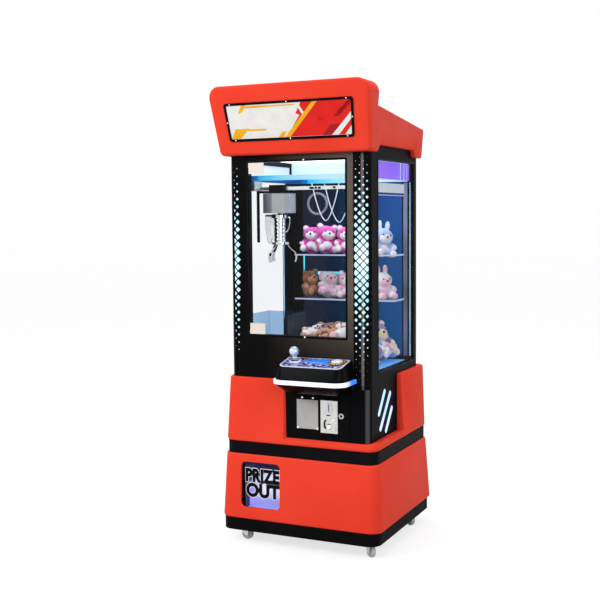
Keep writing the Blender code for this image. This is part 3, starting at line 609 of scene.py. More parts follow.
def smooth_line(points, steps=8):
    """A Catmull-Rom line through points."""
    path = [Vector(p) for p in points]
    path = [path[0] * 2 - path[1], *path, path[-1] * 2 - path[-2]]
    line = []
    for a, b, c, d in zip(path, path[1:], path[2:], path[3:]):
        for step in range(steps):
            t = step / steps
            square, cube = 2 * a - 5 * b + 4 * c - d, 3 * b - a - 3 * c + d
            line.append(0.5 * (2 * b + (c - a) * t + square * t**2 + cube * t**3))
    return [*line, path[-2]]


def merged(meshes):
    bm = bmesh.new()
    for mesh in meshes:
        bm.from_mesh(mesh)
    return made_mesh(bm, "merged")


def linked(name, data):
    """A new object in the scene."""
    item = bpy.data.objects.new(name, data)
    bpy.context.scene.collection.objects.link(item)
    return item


def evaluated(item):
    """The object's mesh after its modifiers."""
    return bpy.data.meshes.new_from_object(item.evaluated_get(bpy.context.evaluated_depsgraph_get()))


def applied(item):
    """Bakes an object's modifiers into its mesh."""
    mesh = evaluated(item)
    item.modifiers.clear()
    item.data = mesh
    return item


def carve(item, mesh, operation="DIFFERENCE"):
    tool = linked("tool", mesh)
    modifier = item.modifiers.new("carve", "BOOLEAN")
    modifier.operation = operation
    modifier.object = tool
    modifier.solver = "EXACT"
    applied(item)
    bpy.data.objects.remove(tool)
    return item


def rounded(item, width, segments=2, angle=30, keep=False):
    """Rounds the edges sharper than the angle."""
    modifier = item.modifiers.new("round", "BEVEL")
    modifier.width = width
    modifier.segments = segments
    modifier.limit_method = "ANGLE"
    modifier.angle_limit = math.radians(angle)
    modifier.use_clamp_overlap = True
    modifier.harden_normals = True
    return item if keep else applied(item)


def settle(item, body="root", angle=35, stands_for=None):
    """Shades a shaped piece, and says what it rides on and stands for."""
    item.data.polygons.foreach_set("use_smooth", [True] * len(item.data.polygons))
    item.data.set_sharp_from_angle(angle=math.radians(angle))
    if body:
        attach(item, body)
    if stands_for:
        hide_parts(stands_for)
    return item


def piece(name, mesh, material, body="root", matrix=None):
    item = linked(name, mesh)
    if matrix is not None:
        mesh.transform(matrix)
    if material is not None:
        mesh.materials.clear()
        mesh.materials.append(material)
    return settle(item, body)


def dress(material, names, width=0.0, segments=2):
    """Gives CAD nodes their material, and rounds their edges."""
    for name in names.split():
        node = NODES[name]
        node.data.materials.clear()
        node.data.materials.append(material)
        if width:
            weld = node.modifiers.new("weld", "WELD")
            weld.merge_threshold = 0.00001
            flat = node.modifiers.new("flat", "DECIMATE")
            flat.decimate_type = "DISSOLVE"
            flat.angle_limit = math.radians(0.5)
            rounded(node, width, segments, keep=True)


def screws(name, spots, axis, body="root", size=0.0032, matrix=None, material=CHROME):
    """Domed screw heads with a socket, all on one body."""
    socket = ((0, 0.00002), (0.38 * size, 0.00002))
    dome = [(r * size, h * size) for r, h in ((0.42, 0.30), (0.72, 0.24), (0.95, 0.10), (1.0, 0))]
    heads = [turned((*socket, *dome), spot, axis, 14) for spot in spots]
    return piece(name, merged(heads), material, body, matrix)


# ---------------------------------------------------------------- outer shell


def cowl_ring(levels, radii, height, inset):
    """The cowl's outline at a height, moved in by the inset."""
    (z0, *low), (z1, *high) = levels
    share = (height - z0) / (z1 - z0)
    half, y0, y1 = (a + (b - a) * share for a, b in zip(low, high))
    near, far = (a + (b - a) * share for a, b in zip(*radii))
    shape = outline(inset - half, half - inset, y0 + inset, y1 - inset, near - inset, far - inset, 10)
    return [(x, y, height) for x, y in shape]


def fillet(soft, steps=5):
    """(rise, inset) round a soft edge, from the wall to the end face."""
    angles = [math.radians(90 * step / steps) for step in range(steps + 1)]
    return [(soft * (1 - math.sin(angle)), soft * (1 - math.cos(angle))) for angle in angles]


def cowl(name, levels, radii, soft):
    """A moulded cowl with soft edges at its top and bottom."""
    z0, z1 = levels[0][0], levels[1][0]
    low = [cowl_ring(levels, radii, z0 + rise, inset) for rise, inset in fillet(soft)]
    high = [cowl_ring(levels, radii, z1 - rise, inset) for rise, inset in fillet(soft)]
    return piece(name, loft(low[::-1] + high), RED, None)


def make_cowls():
    """Lower cowl with the prize mouth, and upper cowl cut away at the console's side."""
    shell = cowl("lower_moulding", LOWER_COWL, LOWER_RADII, 0.008)
    ends = (LOWER_COWL[0][0] - 0.01, LOWER_COWL[1][0] + 0.01)
    carve(shell, loft([cowl_ring(LOWER_COWL, LOWER_RADII, height, COWL_WALL) for height in ends]))
    x0, x1, z0, z1 = PRIZE_MOUTH
    face, slant = -0.2685, 0.0085
    rings = []
    for depth, inset in ((-0.004, -0.0025), (0.002, 0.0010), (0.006, 0.0030), (0.012, 0.0040), (0.030, 0.0040)):
        shape = outline(x0 + inset, x1 - inset, z0 + inset, z1 - inset, 0.020, 0.020)
        rings.append([(x, face + depth - slant * (0.25 - z) / 0.2, z) for x, z in shape])
    carve(shell, loft([[(x, -0.30, z) for x, y, z in rings[0]], *rings]))
    settle(shell, "root", 30, "lower_cowl")

    shell = cowl("upper_moulding", UPPER_COWL, UPPER_RADII, 0.009)
    gap = 0.0006
    half = CABINET_HALF + gap
    core = outline(-half, half, CABINET_FRONT - gap, CABINET_BACK + gap, 0.0346, 0.0106)
    carve(shell, drawn(core, 0.4, 0.72))
    left, back, bottom = CUTAWAY
    carve(shell, box(left, 0.4, -0.4, back, bottom, 0.8))
    wedge = []
    for y, flare in ((CABINET_FRONT - 0.003, 0), (-0.272, 0.014)):
        x, z = left - flare, bottom - flare
        wedge.append([(x, y, z), (x, y, 0.8), (0.4, y, 0.8), (0.4, y, z)])
    carve(shell, loft(wedge))
    rounded(shell, 0.0045, 4, 28)
    settle(shell, "root", 30, "upper_cowl")


def narrowed(x, share):
    """A half width of the marquee, where share runs from 0 at its bottom to 1 at its top."""
    return x * (1 - MARQUEE_TAPER * (1 - share))


def make_marquee():
    """Front block with a leaning face, and a body behind it under a falling roof. Both narrow downwards."""
    half, rise = MARQUEE_HALF, MARQUEE_RISE

    def ring(inset, face=0, y_back=None):
        shape = outline(inset - half, half - inset, inset, rise - inset, 0.018, 0.052 - inset * 0.5, 10)
        points = []
        for x, up in shape:
            y = FASCIA_FRONT - FASCIA_REACH * up / rise + face if y_back is None else y_back
            points.append((narrowed(x, up / rise), y, MARQUEE_BOTTOM + up))
        return points

    def body(side, width):
        mesh = drawn(side, -width, width, "X")
        for vert in mesh.vertices:
            vert.co.x = narrowed(vert.co.x, (vert.co.z - MARQUEE_BOTTOM) / rise)
        return piece("marquee_body", mesh, RED, None)

    rings = [ring(down, inset) for down, inset in fillet(0.010)]
    rings += [ring(0, y_back=FASCIA_BACK - 0.005), ring(0.004, y_back=FASCIA_BACK)]
    shell = piece("marquee_moulding", loft(rings), RED, None)
    side = (
        (-0.250, 1.6058), (-0.250, 1.786), (0.341, 1.728), (0.341, 1.605),
        (0.254, 1.605), (0.238, 1.634), (-0.166, 1.634), (-0.190, 1.6058),
    )
    behind = rounded(body(side, half - 0.0008), 0.006, 4, 25)
    carve(shell, behind.data, "UNION")
    bpy.data.objects.remove(behind)
    carve(shell, box(-0.309, 0.309, -0.2475, 0.332, 1.5, 1.650))
    hollow = body(((-0.230, 1.640), (-0.230, 1.772), (0.331, 1.716), (0.331, 1.640)), half - 0.010)
    carve(shell, hollow.data)
    bpy.data.objects.remove(hollow)
    window = outline(-0.278, 0.278, 0.063, 0.204, 0.004, 0.004)
    window = drawn([(narrowed(x, up / FASCIA_HEIGHT), up) for x, up in window], -0.05, 0.08, "Y")
    carve(shell, moved(window, FASCIA))
    settle(shell, "root", 32, "marquee_shell")
    rim = [(x, up) for x in (-0.256, 0.0, 0.256) for up in (0.0615, 0.2055)]
    rim += [(-0.2794, 0.1335), (0.2794, 0.1335)]
    rim = [(narrowed(x, up / FASCIA_HEIGHT), -0.004, up) for x, up in rim]
    screws("bezel_screws", rim, FORWARD, size=0.0029, matrix=FASCIA)


def make_art():
    """Diagonal bars of print on the lit panel, layer over layer."""
    x0, x1, low, high = -0.2740, 0.2740, 0.0670, 0.2000
    thick = 0.00012
    bars = (
        (0, ART_RED, ((0.47, 0), (1, 0), (1, 1), (0.66, 1))),
        (0, ART_RED, ((0.75, 0.42), (1, 1), (0.80, 1), (0.70, 0.70))),
        (1, ART_DEEP, ((0.86, 0.55), (0.99, 1), (1, 1), (1, 0.99), (0.90, 0.52))),
        (1, ART_RED, ((0.70, 0.52), (0.80, 0.52), (0.98, 1), (0.72, 1))),
        (1, ART_DEEP, ((0.92, 0.60), (1, 0.88), (1, 1), (0.985, 1), (0.885, 0.66))),
        (1, ART_DEEP, ((0.76, 0), (0.84, 0), (0.93, 0.32), (0.83, 0.30))),
        (2, ART_WHITE, ((0.84, 0), (0.895, 0), (1, 0.46), (1, 0.66))),
        (2, ART_WHITE, ((0.945, 0), (1, 0), (1, 0.26))),
        (1, ART_RED, ((0.61, 1), (0.56, 0.68), (0.60, 0.62), (0.69, 1))),
        (2, ART_WHITE, ((0.565, 1), (0.585, 1), (0.64, 0.62), (0.62, 0.60))),
        (3, ART_AMBER, ((0.70, 1), (0.74, 1), (0.50, 0), (0.455, 0))),
        (3, ART_AMBER, ((0.13, 0.90), (0.145, 0.97), (0.56, 0.955), (0.556, 0.925))),
        (3, ART_AMBER, ((0.085, 0.73), (0.125, 0.80), (0.165, 1), (0.125, 1))),
        (2, ART_AMBER, ((0.0, 0.0), (0.085, 0), (0.17, 0.30), (0.045, 0.30))),
        (3, ART_WHITE, ((0.085, 0.02), (0.34, 0.02), (0.385, 0.26), (0.145, 0.24))),
        (4, ART_AMBER, ((0.15, 0.22), (0.30, 0.22), (0.315, 0.27), (0.165, 0.28))),
        (2, ART_AMBER, ((0.40, 0), (0.445, 0), (0.475, 0.16), (0.44, 0.17))),
    )
    used, joined = [], bmesh.new()
    for layer, material, points in bars:
        spots = []
        for u, v in points:
            up = low + (high - low) * v
            spots.append((narrowed(x0 + (x1 - x0) * u, up / FASCIA_HEIGHT), up))
        back = -0.00002 - thick * layer
        start = len(joined.faces)
        joined.from_mesh(drawn(spots, back - thick, back, "Y"))
        if material not in used:
            used.append(material)
        joined.faces.ensure_lookup_table()
        for face in joined.faces[start:]:
            face.material_index = used.index(material)
    art = piece("marquee_print", moved(made_mesh(joined, "art"), FASCIA), None)
    for material in used:
        art.data.materials.append(material)


# ---------------------------------------------------------------- tower


def corner_point(side, s, inset):
    """A point of the post's skin: s runs from the front face round the corner."""
    flat, outer = 0.274 - 0.243, 0.034
    radius = outer - inset
    if s < flat:
        return side * (0.243 + s), -0.2125 - radius
    angle = min((s - flat) / outer, math.pi / 2)
    rest = max(0.0, s - flat - outer * math.pi / 2)
    return side * (0.274 + radius * math.sin(angle)), -0.2125 - radius * math.cos(angle) + rest


def cut(bm, point, normal, clear=False):
    geometry = bm.verts[:] + bm.edges[:] + bm.faces[:]
    bmesh.ops.bisect_plane(bm, geom=geometry, plane_co=point, plane_no=normal, clear_outer=clear)


def make_posts():
    """Corner posts with a lattice of diamond holes that shrink to dots at both ends."""
    length, bottom, top = 0.0848, 0.690, 1.596
    pitch, row, foot = 0.016, 0.031, bottom + 0.012
    middle, reach, least, most = 1.180, 0.40, 0.0014, 0.0132
    sides, dot = 16, 0.80
    for side, name in ((1, "right"), (-1, "left")):
        bm = bmesh.new()
        first = 0 if side > 0 else 1
        for column in range(-1, 6):
            centre = length / 2 + (column - 2) * pitch
            for index in range(-1, 31):
                z = foot + index * row + (row / 2 if column % 2 else 0)
                share = max(0.0, 1 - abs(z - middle) / reach)
                size = least + (most - least) * min(1.0, share**0.85 * 1.12)
                blend = min(1.0, max(0.0, (size - 0.002) / 0.004))
                rim, cell = [], []
                for c, s in circle(sides):
                    diamond = 1 / (abs(c) + abs(s))
                    out = size * (dot + (diamond - dot) * blend)
                    rim.append(bm.verts.new((centre + out * c, 0, z + out * s)))
                    cell.append(bm.verts.new((centre + pitch * diamond * c, 0, z + row / 2 * diamond * s)))
                for step in range(sides):
                    after = (step + 1) % sides
                    bm.faces.new((cell[step], cell[after], rim[after], rim[step]))
                if not (first <= column <= 4 and foot < z < top - 0.010):
                    bm.faces.new(rim)
        bmesh.ops.remove_doubles(bm, verts=bm.verts, dist=0.0001)
        cut(bm, (0, 0, 0), (-1, 0, 0), True)
        cut(bm, (length, 0, 0), (1, 0, 0), True)
        cut(bm, (0, 0, bottom), (0, 0, -1), True)
        cut(bm, (0, 0, top), (0, 0, 1), True)
        for fold in range(1, 12):
            cut(bm, (0.031 + 0.0534 * fold / 12, 0, 0), (1, 0, 0))
        for vert in bm.verts:
            vert.co.x, vert.co.y = corner_point(side, vert.co.x, 0.0)
        if side < 0:
            bmesh.ops.reverse_faces(bm, faces=bm.faces)
        post = piece(f"{name}_lattice_post", made_mesh(bm, name), SATIN, None)
        thick = post.modifiers.new("thick", "SOLIDIFY")
        thick.thickness = 0.0028
        thick.offset = 1.0 if faces_inward(post) else -1.0
        settle(applied(post), "root", 40, f"{name}_corner_post")
        run = (0.001, 0.016, 0.031, *(0.031 + 0.006 * n for n in range(1, 8)))
        path, back = ([corner_point(side, s, inset) for s in run] for inset in (0.010, 0.012))
        sheet = drawn(path + back[::-1], bottom + 0.002, top - 0.002)
        piece(f"{name}_post_diffuser", sheet, POST_LIGHT)
        low, high = sorted((side * 0.2433, side * 0.2885))
        piece(f"{name}_post_backing", box(low, high, -0.2195, -0.2125, bottom, top), NAVY)


def faces_inward(item):
    """True if the first front face looks into the machine."""
    return next((p.normal.y > 0 for p in item.data.polygons if abs(p.normal.y) > 0.9), False)


def make_window_trim():
    """Thin black frame round the front glass, with its screws, and the side windows' gaskets."""
    x0, x1, z0, z1 = -0.217, 0.210, 0.877, 1.577
    y, edge, gap = CABINET_FRONT, 0.008, 0.0002
    trim = box(x0 - edge, x1 + edge, y - 0.0012, y - gap, z0 - edge, z1 + edge)
    trim = piece("window_trim", trim, GLOSS, None)
    carve(trim, box(x0 + gap, x1 - gap, -0.3, -0.2, z0 + gap, z1 - gap))
    settle(rounded(trim, 0.0004))
    middle = (x0 + x1) / 2 + 0.035
    spots = [(middle, y - 0.0012, z1 + 0.004), (middle, y - 0.0012, z0 - 0.004)]
    screws("window_screws", spots, FORWARD, size=0.0038)
    y0, y1, z0, z1, edge = -0.142, 0.286, 0.731, 1.579, 0.004
    for side, name in ((1, "right"), (-1, "left")):
        low, high = sorted((side * CABINET_HALF, side * (CABINET_HALF + 0.0012)))
        gasket = box(low, high, y0 - edge, y1 + edge, z0 - edge, z1 + edge)
        gasket = piece(f"{name}_window_gasket", gasket, GLOSS, None)
        settle(carve(gasket, box(-0.4, 0.4, y0, y1, z0, z1)))


def make_interior():
    """Header panels over the gantry that glow as painted light, the rear lining with painted blue light, led
    lines, and what hangs on the rear wall.
    """
    piece("rear_lining", box(-0.246, 0.246, 0.3105, 0.3125, 0.748, 1.555), BACK_WALL, "rear_door")
    # Header panels that glow as painted light, with a rail, a line and two trims.
    for name, look, span in (
        ("rear_header", HEADER_BACK, (-0.2795, 0.2795, 0.2955, 0.2985, 1.507, 1.603)),
        ("left_header", HEADER_LEFT, (-0.2890, -0.2865, -0.138, 0.294, 1.507, 1.600)),
        ("right_header", HEADER_SIDE, (0.2865, 0.2890, -0.138, 0.284, 1.507, 1.577)),
        ("right_header_rail", PAPER, (0.2855, 0.2900, -0.138, 0.215, 1.4520, 1.4900)),
        ("right_header_line", CREAM, (0.2860, 0.2880, -0.138, 0.215, 1.4400, 1.4430)),
        ("right_rear_trim", TRIM, (0.2600, 0.2870, 0.2900, 0.2960, 0.745, 1.500)),
        ("left_rear_trim", NAVY, (-0.2990, -0.2960, 0.2350, 0.2900, 0.745, 1.500)),
    ):
        piece(name, box(*span), look)
    dots = []
    columns = [(-0.2945, 0.236, 0.90, 1.47, FORWARD), (0.2945, 0.278, 0.75, 1.50, FORWARD)]
    columns += [(0.2892, y, 1.512, 1.575, (1, 0, 0)) for y in (0.170, 0.215, 0.250)]
    for x, y, z, high, facing in columns:
        while z < high:
            dots.append(turned(((0, 0.0018), (0.0018, 0.0012), (0.0026, 0)), (x, y, z), facing, 8))
            z += 0.009
    piece("led_dots", merged(dots), LED)
    sticks = [
        box(-0.2280, -0.2240, 0.3055, 0.3100, 1.110, 1.185),
        box(-0.2180, -0.0300, 0.3055, 0.3100, 1.092, 1.108),
    ]
    piece("teal_lines", merged(sticks), TEAL, "rear_door")
    bars = [
        box(-0.2380, -0.2340, 0.3060, 0.3100, 1.215, 1.500),
        box(0.0200, 0.0300, 0.3060, 0.3100, 0.760, 1.185),
        box(-0.2380, 0.0300, 0.3060, 0.3100, 1.1900, 1.1950),
    ]
    piece("rear_lining_bars", merged(bars), GLOSS, "rear_door")
    ring = ring_mesh(((0.041, 0), (0.052, 0), (0.0512, 0.004), (0.0465, 0.006), (0.0415, 0.004)))
    spot = Matrix.Translation((-0.157, 0.3098, 1.415)) @ Matrix.Rotation(math.pi / 2, 4, "X")
    piece("rear_speaker_ring", ring, SPEAKER, "rear_door", spot)
    low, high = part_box("chute_guard")
    piece("chute_side_guard", box(low.x - 0.0032, low.x - 0.0002, low.y, high.y, low.z, high.z), GUARD)
    # Painted highlights: thin glowing strips on each shelf's front and right edge.
    near, far = 0.0001, 0.0010
    for name in ("shelf_upper", "shelf_lower"):
        low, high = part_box(name)
        strips = [
            box(low.x, high.x, low.y - far, low.y - near, low.z, high.z),
            box(high.x + near, high.x + far, low.y, high.y, low.z, high.z),
        ]
        piece(f"{name}_edge", merged(strips), EDGE_GLINT)


def hanging(name, y, start, bottom, end):
    """A cable that hangs between two points over the rear wall, both under the ceiling."""
    points = []
    for step in range(25):
        share = step / 24
        x = start[0] + (end[0] - start[0]) * share
        side = start if x < bottom[0] else end
        reach = abs(x - bottom[0]) / abs(side[0] - bottom[0])
        points.append((x, y, bottom[1] + (side[1] - bottom[1]) * reach**1.7))
    line = smooth_line(points, 3)
    cable = piece(name, tube(line, 0.0024, 10), CABLE)


def make_cables():
    hanging("rear_cable_1", 0.2750, (-0.170, 1.5060), (-0.102, 1.338), (-0.036, 1.5060))
    hanging("rear_cable_2", 0.2840, (-0.112, 1.5060), (-0.040, 1.330), (0.028, 1.5060))


def make_gantry():
    """Bracket beside the hoist, slots in the beam, and the hoist cover's screws."""
    x, y = CLAW
    arm = [
        box(x - 0.090, x - 0.034, y - 0.034, y - 0.0265, 1.4545, 1.4645),
        box(x - 0.090, x - 0.078, y - 0.034, y - 0.028, 1.250, 1.4645),
    ]
    settle(rounded(piece("hoist_bracket", merged(arm), BLACK, None), 0.001), "trolley")
    # Painted shade: dark strips on the beam's face stand for the shade inside its slots.
    runs = ((-0.005, 0.015), (0.019, 0.029), (0.034, 0.046), (0.10, 0.112))
    slots = [box(start, end, y - 0.0126, y - 0.0118, 1.4695, 1.4785) for start, end in runs]
    piece("beam_slots", merged(slots), GLOSS, "bridge")
    low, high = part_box("hoist_cover")
    spots = [(high.x, low.y + 0.022, z) for z in (low.z + 0.010, high.z - 0.010)]
    screws("hoist_screws", spots, (1, 0, 0), "trolley", 0.0036, material=PAPER)


def make_claw():
    """Tips on the fingers, coil windings on the core, the bright side plate, its link and the cable."""
    x, y = CLAW

    def about(degrees):
        return Matrix.Translation((x, y, 0)) @ Matrix.Rotation(math.radians(degrees), 4, "Z")

    sections = (
        (0.0372, -0.052, 0.0068, 0.0022),
        (0.0365, -0.066, 0.0078, 0.0030),
        (0.0325, -0.0785, 0.0070, 0.0024),
    )
    for index, degrees in enumerate((20, 140, 260), 1):
        turn = about(degrees) @ Matrix.Translation((0.032, 0, 1.247))
        rings = []
        for r, z, wide, deep in sections:
            shape = outline(-deep, deep, -wide, wide, deep * 0.9, deep * 0.9, 4)
            rings.append([(r + u, v, z) for u, v in shape])
        piece(f"claw_tip_{index}", loft(rings), SILVER, f"claw_finger_{index}", turn)
    band = ((0.0238, -0.005), (0.0252, -0.003), (0.0252, 0.003), (0.0238, 0.005))
    bands = []
    for z in (1.262, 1.278, 1.294, 1.310, 1.326, 1.342):
        bands.append(turned([(radius, z + up) for radius, up in band], (x, y, 0)))
    piece("claw_windings", merged(bands), CHROME, "claw")
    shape = (
        (0.024, 1.366), (0.060, 1.366), (0.062, 1.330), (0.054, 1.262),
        (0.046, 1.246), (0.034, 1.246), (0.030, 1.262), (0.024, 1.300),
    )
    plate = piece("claw_side_plate", drawn(shape, -0.001, 0.001, "Y"), CHROME, None, about(205.24))
    settle(rounded(plate, 0.0008), "claw")
    link = smooth_line(((0.030, 0, 1.366), (0.043, 0, 1.345), (0.036, 0, 1.305), (0.0255, 0, 1.292)), 6)
    piece("claw_link", tube(link, 0.0022), CHROME, "claw", about(25.24))
    foot, rise, radius, turns, sides = 1.3785, 0.0675, 0.0075, 8, 12
    coil = []
    for step in range(turns * sides + 1):
        angle = math.tau * step / sides
        up = foot + rise * step / (turns * sides)
        coil.append((x + radius * math.cos(angle), y + radius * math.sin(angle), up))
    cable = piece("hoist_cable", tube(coil, 0.0016, 8), CABLE, None)
    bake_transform(cable)


# ---------------------------------------------------------------- console and coin door


def bored(item, *radii):
    """Cuts the joystick's and the button's holes."""
    for (x, y), radius in zip((JOYSTICK, BUTTON), radii):
        hole = turned(((radius, -0.015), (radius, 0.015)), (x, y, 0))
        carve(item, moved(hole, SLOPE))


def make_console():
    """Black console moulding, its printed inlay, and the trims of the joystick, button and display."""
    levels = (
        (0.656, -0.014, 0.210, -0.314, 0.034),
        (0.658, -0.020, 0.216, -0.322, 0.040),
        (0.664, -0.033, 0.228, -0.340, 0.045),
        (0.680, -0.0425, 0.2375, -0.360, 0.045),
        (0.694, -0.0515, 0.2465, -0.379, 0.045),
        (0.697, -0.052, 0.247, -0.380, 0.045),
        (0.718, -0.052, 0.247, -0.380, 0.045),
        (0.721, -0.0515, 0.2465, -0.3795, 0.044),
    )
    rings = []
    for z, x0, x1, y0, radius in levels:
        rings.append([(x, y, z) for x, y in outline(x0, x1, y0, CONSOLE_BACK, radius, 0.002, 10)])
    for inset, drop in ((-0.0012, 0.006), (-0.0002, 0.002), (0.0010, 0.0004), (0.0025, 0.0)):
        top = outline(-0.041 + inset, 0.237 - inset, -0.362 + inset, CONSOLE_BACK, 0.028, 0.002, 10)
        rings.append([(x, y, 0.7655 + CONSOLE_RISE * ((y + 0.362) / CONSOLE_DEPTH) - drop) for x, y in top])
    body = piece("console_moulding", loft(rings), GLOSS, None)
    carve(body, moved(box(-0.028, 0.224, -0.092, 0.05, -0.070, -0.008), SLOPE))
    bored(body, 0.019, 0.0275)
    settle(body, "root", 32, "console_body")

    inlay = drawn(outline(-0.029, 0.225, -0.106, -0.010, 0.018, 0.006), 0.00302, 0.0034)
    inlay = piece("console_inlay", inlay, panel_print(), None, SLOPE)
    bored(inlay, 0.0262, 0.0335)
    carve(inlay, moved(box(0.066, 0.152, -0.0685, -0.0200, -0.01, 0.01), SLOPE))
    settle(inlay)
    centre = (*JOYSTICK, 0)
    base = ((0.0195, 0.0032), (0.0262, 0.0032), (0.0258, 0.0052), (0.0225, 0.0072), (0.0198, 0.0074))
    piece("joystick_base", ring_mesh(base, centre), SILVER, matrix=SLOPE)
    neck = (
        (0.0082, 0.0185), (0.0098, 0.0190), (0.0092, 0.0215),
        (0.0068, 0.0245), (0.0056, 0.0290), (0.0052, 0.0290),
    )
    piece("joystick_neck", ring_mesh(neck, centre), SILVER, "joystick", SLOPE)
    x, y = BUTTON
    rim = ((0.0268, 0.0032), (0.0335, 0.0032), (0.0332, 0.0050), (0.0300, 0.0066), (0.0270, 0.0060))
    piece("button_ring", ring_mesh(rim, (x, y, 0)), INK, matrix=SLOPE)
    stud, reach = ((0.0, 0.0030), (0.0024, 0.0024), (0.0034, 0)), 0.0302
    studs = [turned(stud, (x + reach * c, y + reach * s, 0.0060), segments=10) for c, s in circle(16)]
    piece("button_studs", merged(studs), GOLD, matrix=SLOPE)
    line = piece("display_line", box(0.078, 0.140, -0.0625, -0.0600, 0.0056, 0.0059), PAPER, matrix=SLOPE)


def make_coin_door():
    """Screws, slots, channel, tray and lever of the coin acceptor, and the seam round the door."""
    body = "coin_door"
    face = CABINET_FRONT - 0.0038
    plate = face - 0.0022
    top = face - 0.0060
    near, far = top - 0.0001, top - 0.0030
    screws("plate_screws", [(0.019, face, 0.630), (0.067, face, 0.630)], FORWARD, body, 0.0048)
    screws("plate_corner_screws", [(x, plate, 0.5065) for x in (0.000, 0.086)], FORWARD, body, 0.0048)
    corners = [(x, top, z) for x in (0.1085, 0.1705) for z in (0.499, 0.619)]
    screws("acceptor_screws", corners, FORWARD, body, 0.0034)
    cx, cz = 0.1395, 0.594
    oval = [(cx + 0.0165 * c, cz + 0.0215 * s) for c, s in circle(32)]
    entry = piece("coin_entry", drawn(oval, top - 0.0024, near, "Y"), SILVER, None)
    carve(entry, box(cx - 0.0017, cx + 0.0017, -0.3, -0.2, cz - 0.0150, cz + 0.0150))
    settle(rounded(entry, 0.0009), body)
    # Painted shade: dark sheets in the coin slot and beside it stand for the shade inside the slots.
    dark = [
        box(cx - 0.0016, cx + 0.0016, top - 0.0010, top - 0.0002, cz - 0.0145, cz + 0.0145),
        box(0.1290, 0.1450, top - 0.0009, near, 0.5635, 0.5680),
    ]
    piece("coin_slots", merged(dark), INK, body)
    channel = ((0.1630, 0.5560), (0.1690, 0.5500), (0.1490, 0.5320), (0.1400, 0.5385))
    channel = piece("coin_channel", drawn(channel, top - 0.0018, near, "Y"), CHROME, None)
    settle(rounded(channel, 0.0006), body)
    shape = outline(0.1500, 0.1690, 0.5030, 0.5230, 0.003, 0.006)
    cup = piece("coin_return_tray", drawn(shape, far, near, "Y"), BRUSHED, None)
    settle(carve(cup, box(0.1525, 0.1665, -0.3, top - 0.0008, 0.5055, 0.5170)), body)
    outer = []
    for step in range(17):
        angle = math.radians(100 + 170 * step / 16)
        outer.append((0.1250 + 0.0130 * math.cos(angle) * 0.6, 0.5290 + 0.0190 * math.sin(angle)))
    inner = [(x + 0.0050, z * 0.8 + 0.5290 * 0.2) for x, z in outer]
    piece("coin_return_lever", drawn(outer + inner[::-1], far, near, "Y"), INK, body)
    seam = box(-0.0265, 0.2235, face - 0.0003, face - 0.0001, 0.4805, 0.6475)
    seam = piece("coin_door_seam", seam, GLOSS, None)
    settle(carve(seam, box(-0.0255, 0.2225, -0.3, -0.2, 0.4815, 0.6465)), body)


def make_flap_words():
    """PRIZE OUT in heavy plain letters on the flap: dark, with a pale outline."""
    weight = 0.0042
    spots = (("PRIZE", (-0.2455, -0.0885), (0.2570, 0.3150)), ("OUT", (-0.2430, -0.0885), (0.1935, 0.2540)))
    for text, across, up in spots:
        for grow, material, front, name in ((0.0034, PAPER, -0.2460, "edge"), (0.0, INK, -0.2464, "face")):
            curve = bpy.data.curves.new(text, "FONT")
            curve.body = text
            curve.size = 0.078
            curve.space_character = 1.08
            curve.extrude = 0.00015
            curve.offset = weight
            item = linked(text, curve)
            xs, ys, _ = zip(*(vert.co for vert in evaluated(item).vertices))
            curve.offset = weight + grow
            mesh = evaluated(item)
            bpy.data.objects.remove(item)
            wide = (across[1] - across[0]) / (max(xs) - min(xs))
            tall = (up[1] - up[0]) / (max(ys) - min(ys))
            spot = Matrix.Translation((across[0], front, up[0])) @ Matrix.Rotation(math.pi / 2, 4, "X")
            fit = spot @ Matrix.Diagonal((wide, tall, 1.0, 1.0)) @ Matrix.Translation((-min(xs), -min(ys), 0))
            piece(f"flap_{text.lower()}_{name}", mesh, material, "prize_flap", fit)


# ---------------------------------------------------------------- plush prizes


def toy_parts(kind):
    """Ellipsoids of a sitting toy, 1 unit tall, as (centre, radii, material). Material 1 is the second fur."""
    parts = [
        ((0, 0.02, 0.26), (0.33, 0.26, 0.28), 0),
        ((0, -0.17, 0.25), (0.17, 0.11, 0.15), 1),
        ((0, -0.02, 0.66), (0.35, 0.28, 0.27), 0),
        ((0, -0.22, 0.60), (0.22, 0.12, 0.155), 1),
    ]
    for side in (-1, 1):
        parts += [
            ((side * 0.31, -0.16, 0.36), (0.11, 0.17, 0.12), 0),
            ((side * 0.33, -0.29, 0.33), (0.085, 0.06, 0.085), 1),
            ((side * 0.23, -0.26, 0.13), (0.14, 0.20, 0.13), 0),
            ((side * 0.24, -0.43, 0.13), (0.115, 0.06, 0.120), 1),
        ]
        if kind == "bear":
            parts += [
                ((side * 0.26, 0.02, 0.89), (0.13, 0.07, 0.12), 0),
                ((side * 0.26, -0.04, 0.89), (0.085, 0.04, 0.080), 1),
            ]
        elif kind == "bunny":
            parts += [
                ((side * 0.15, 0.04, 1.00), (0.095, 0.06, 0.20), 0),
                ((side * 0.15, -0.005, 1.01), (0.060, 0.03, 0.14), 1),
            ]
        else:
            parts.append(((side * 0.35, -0.02, 0.70), (0.09, 0.13, 0.19), 1))
    return [(Vector(centre), Vector(radii), material) for centre, radii, material in parts]


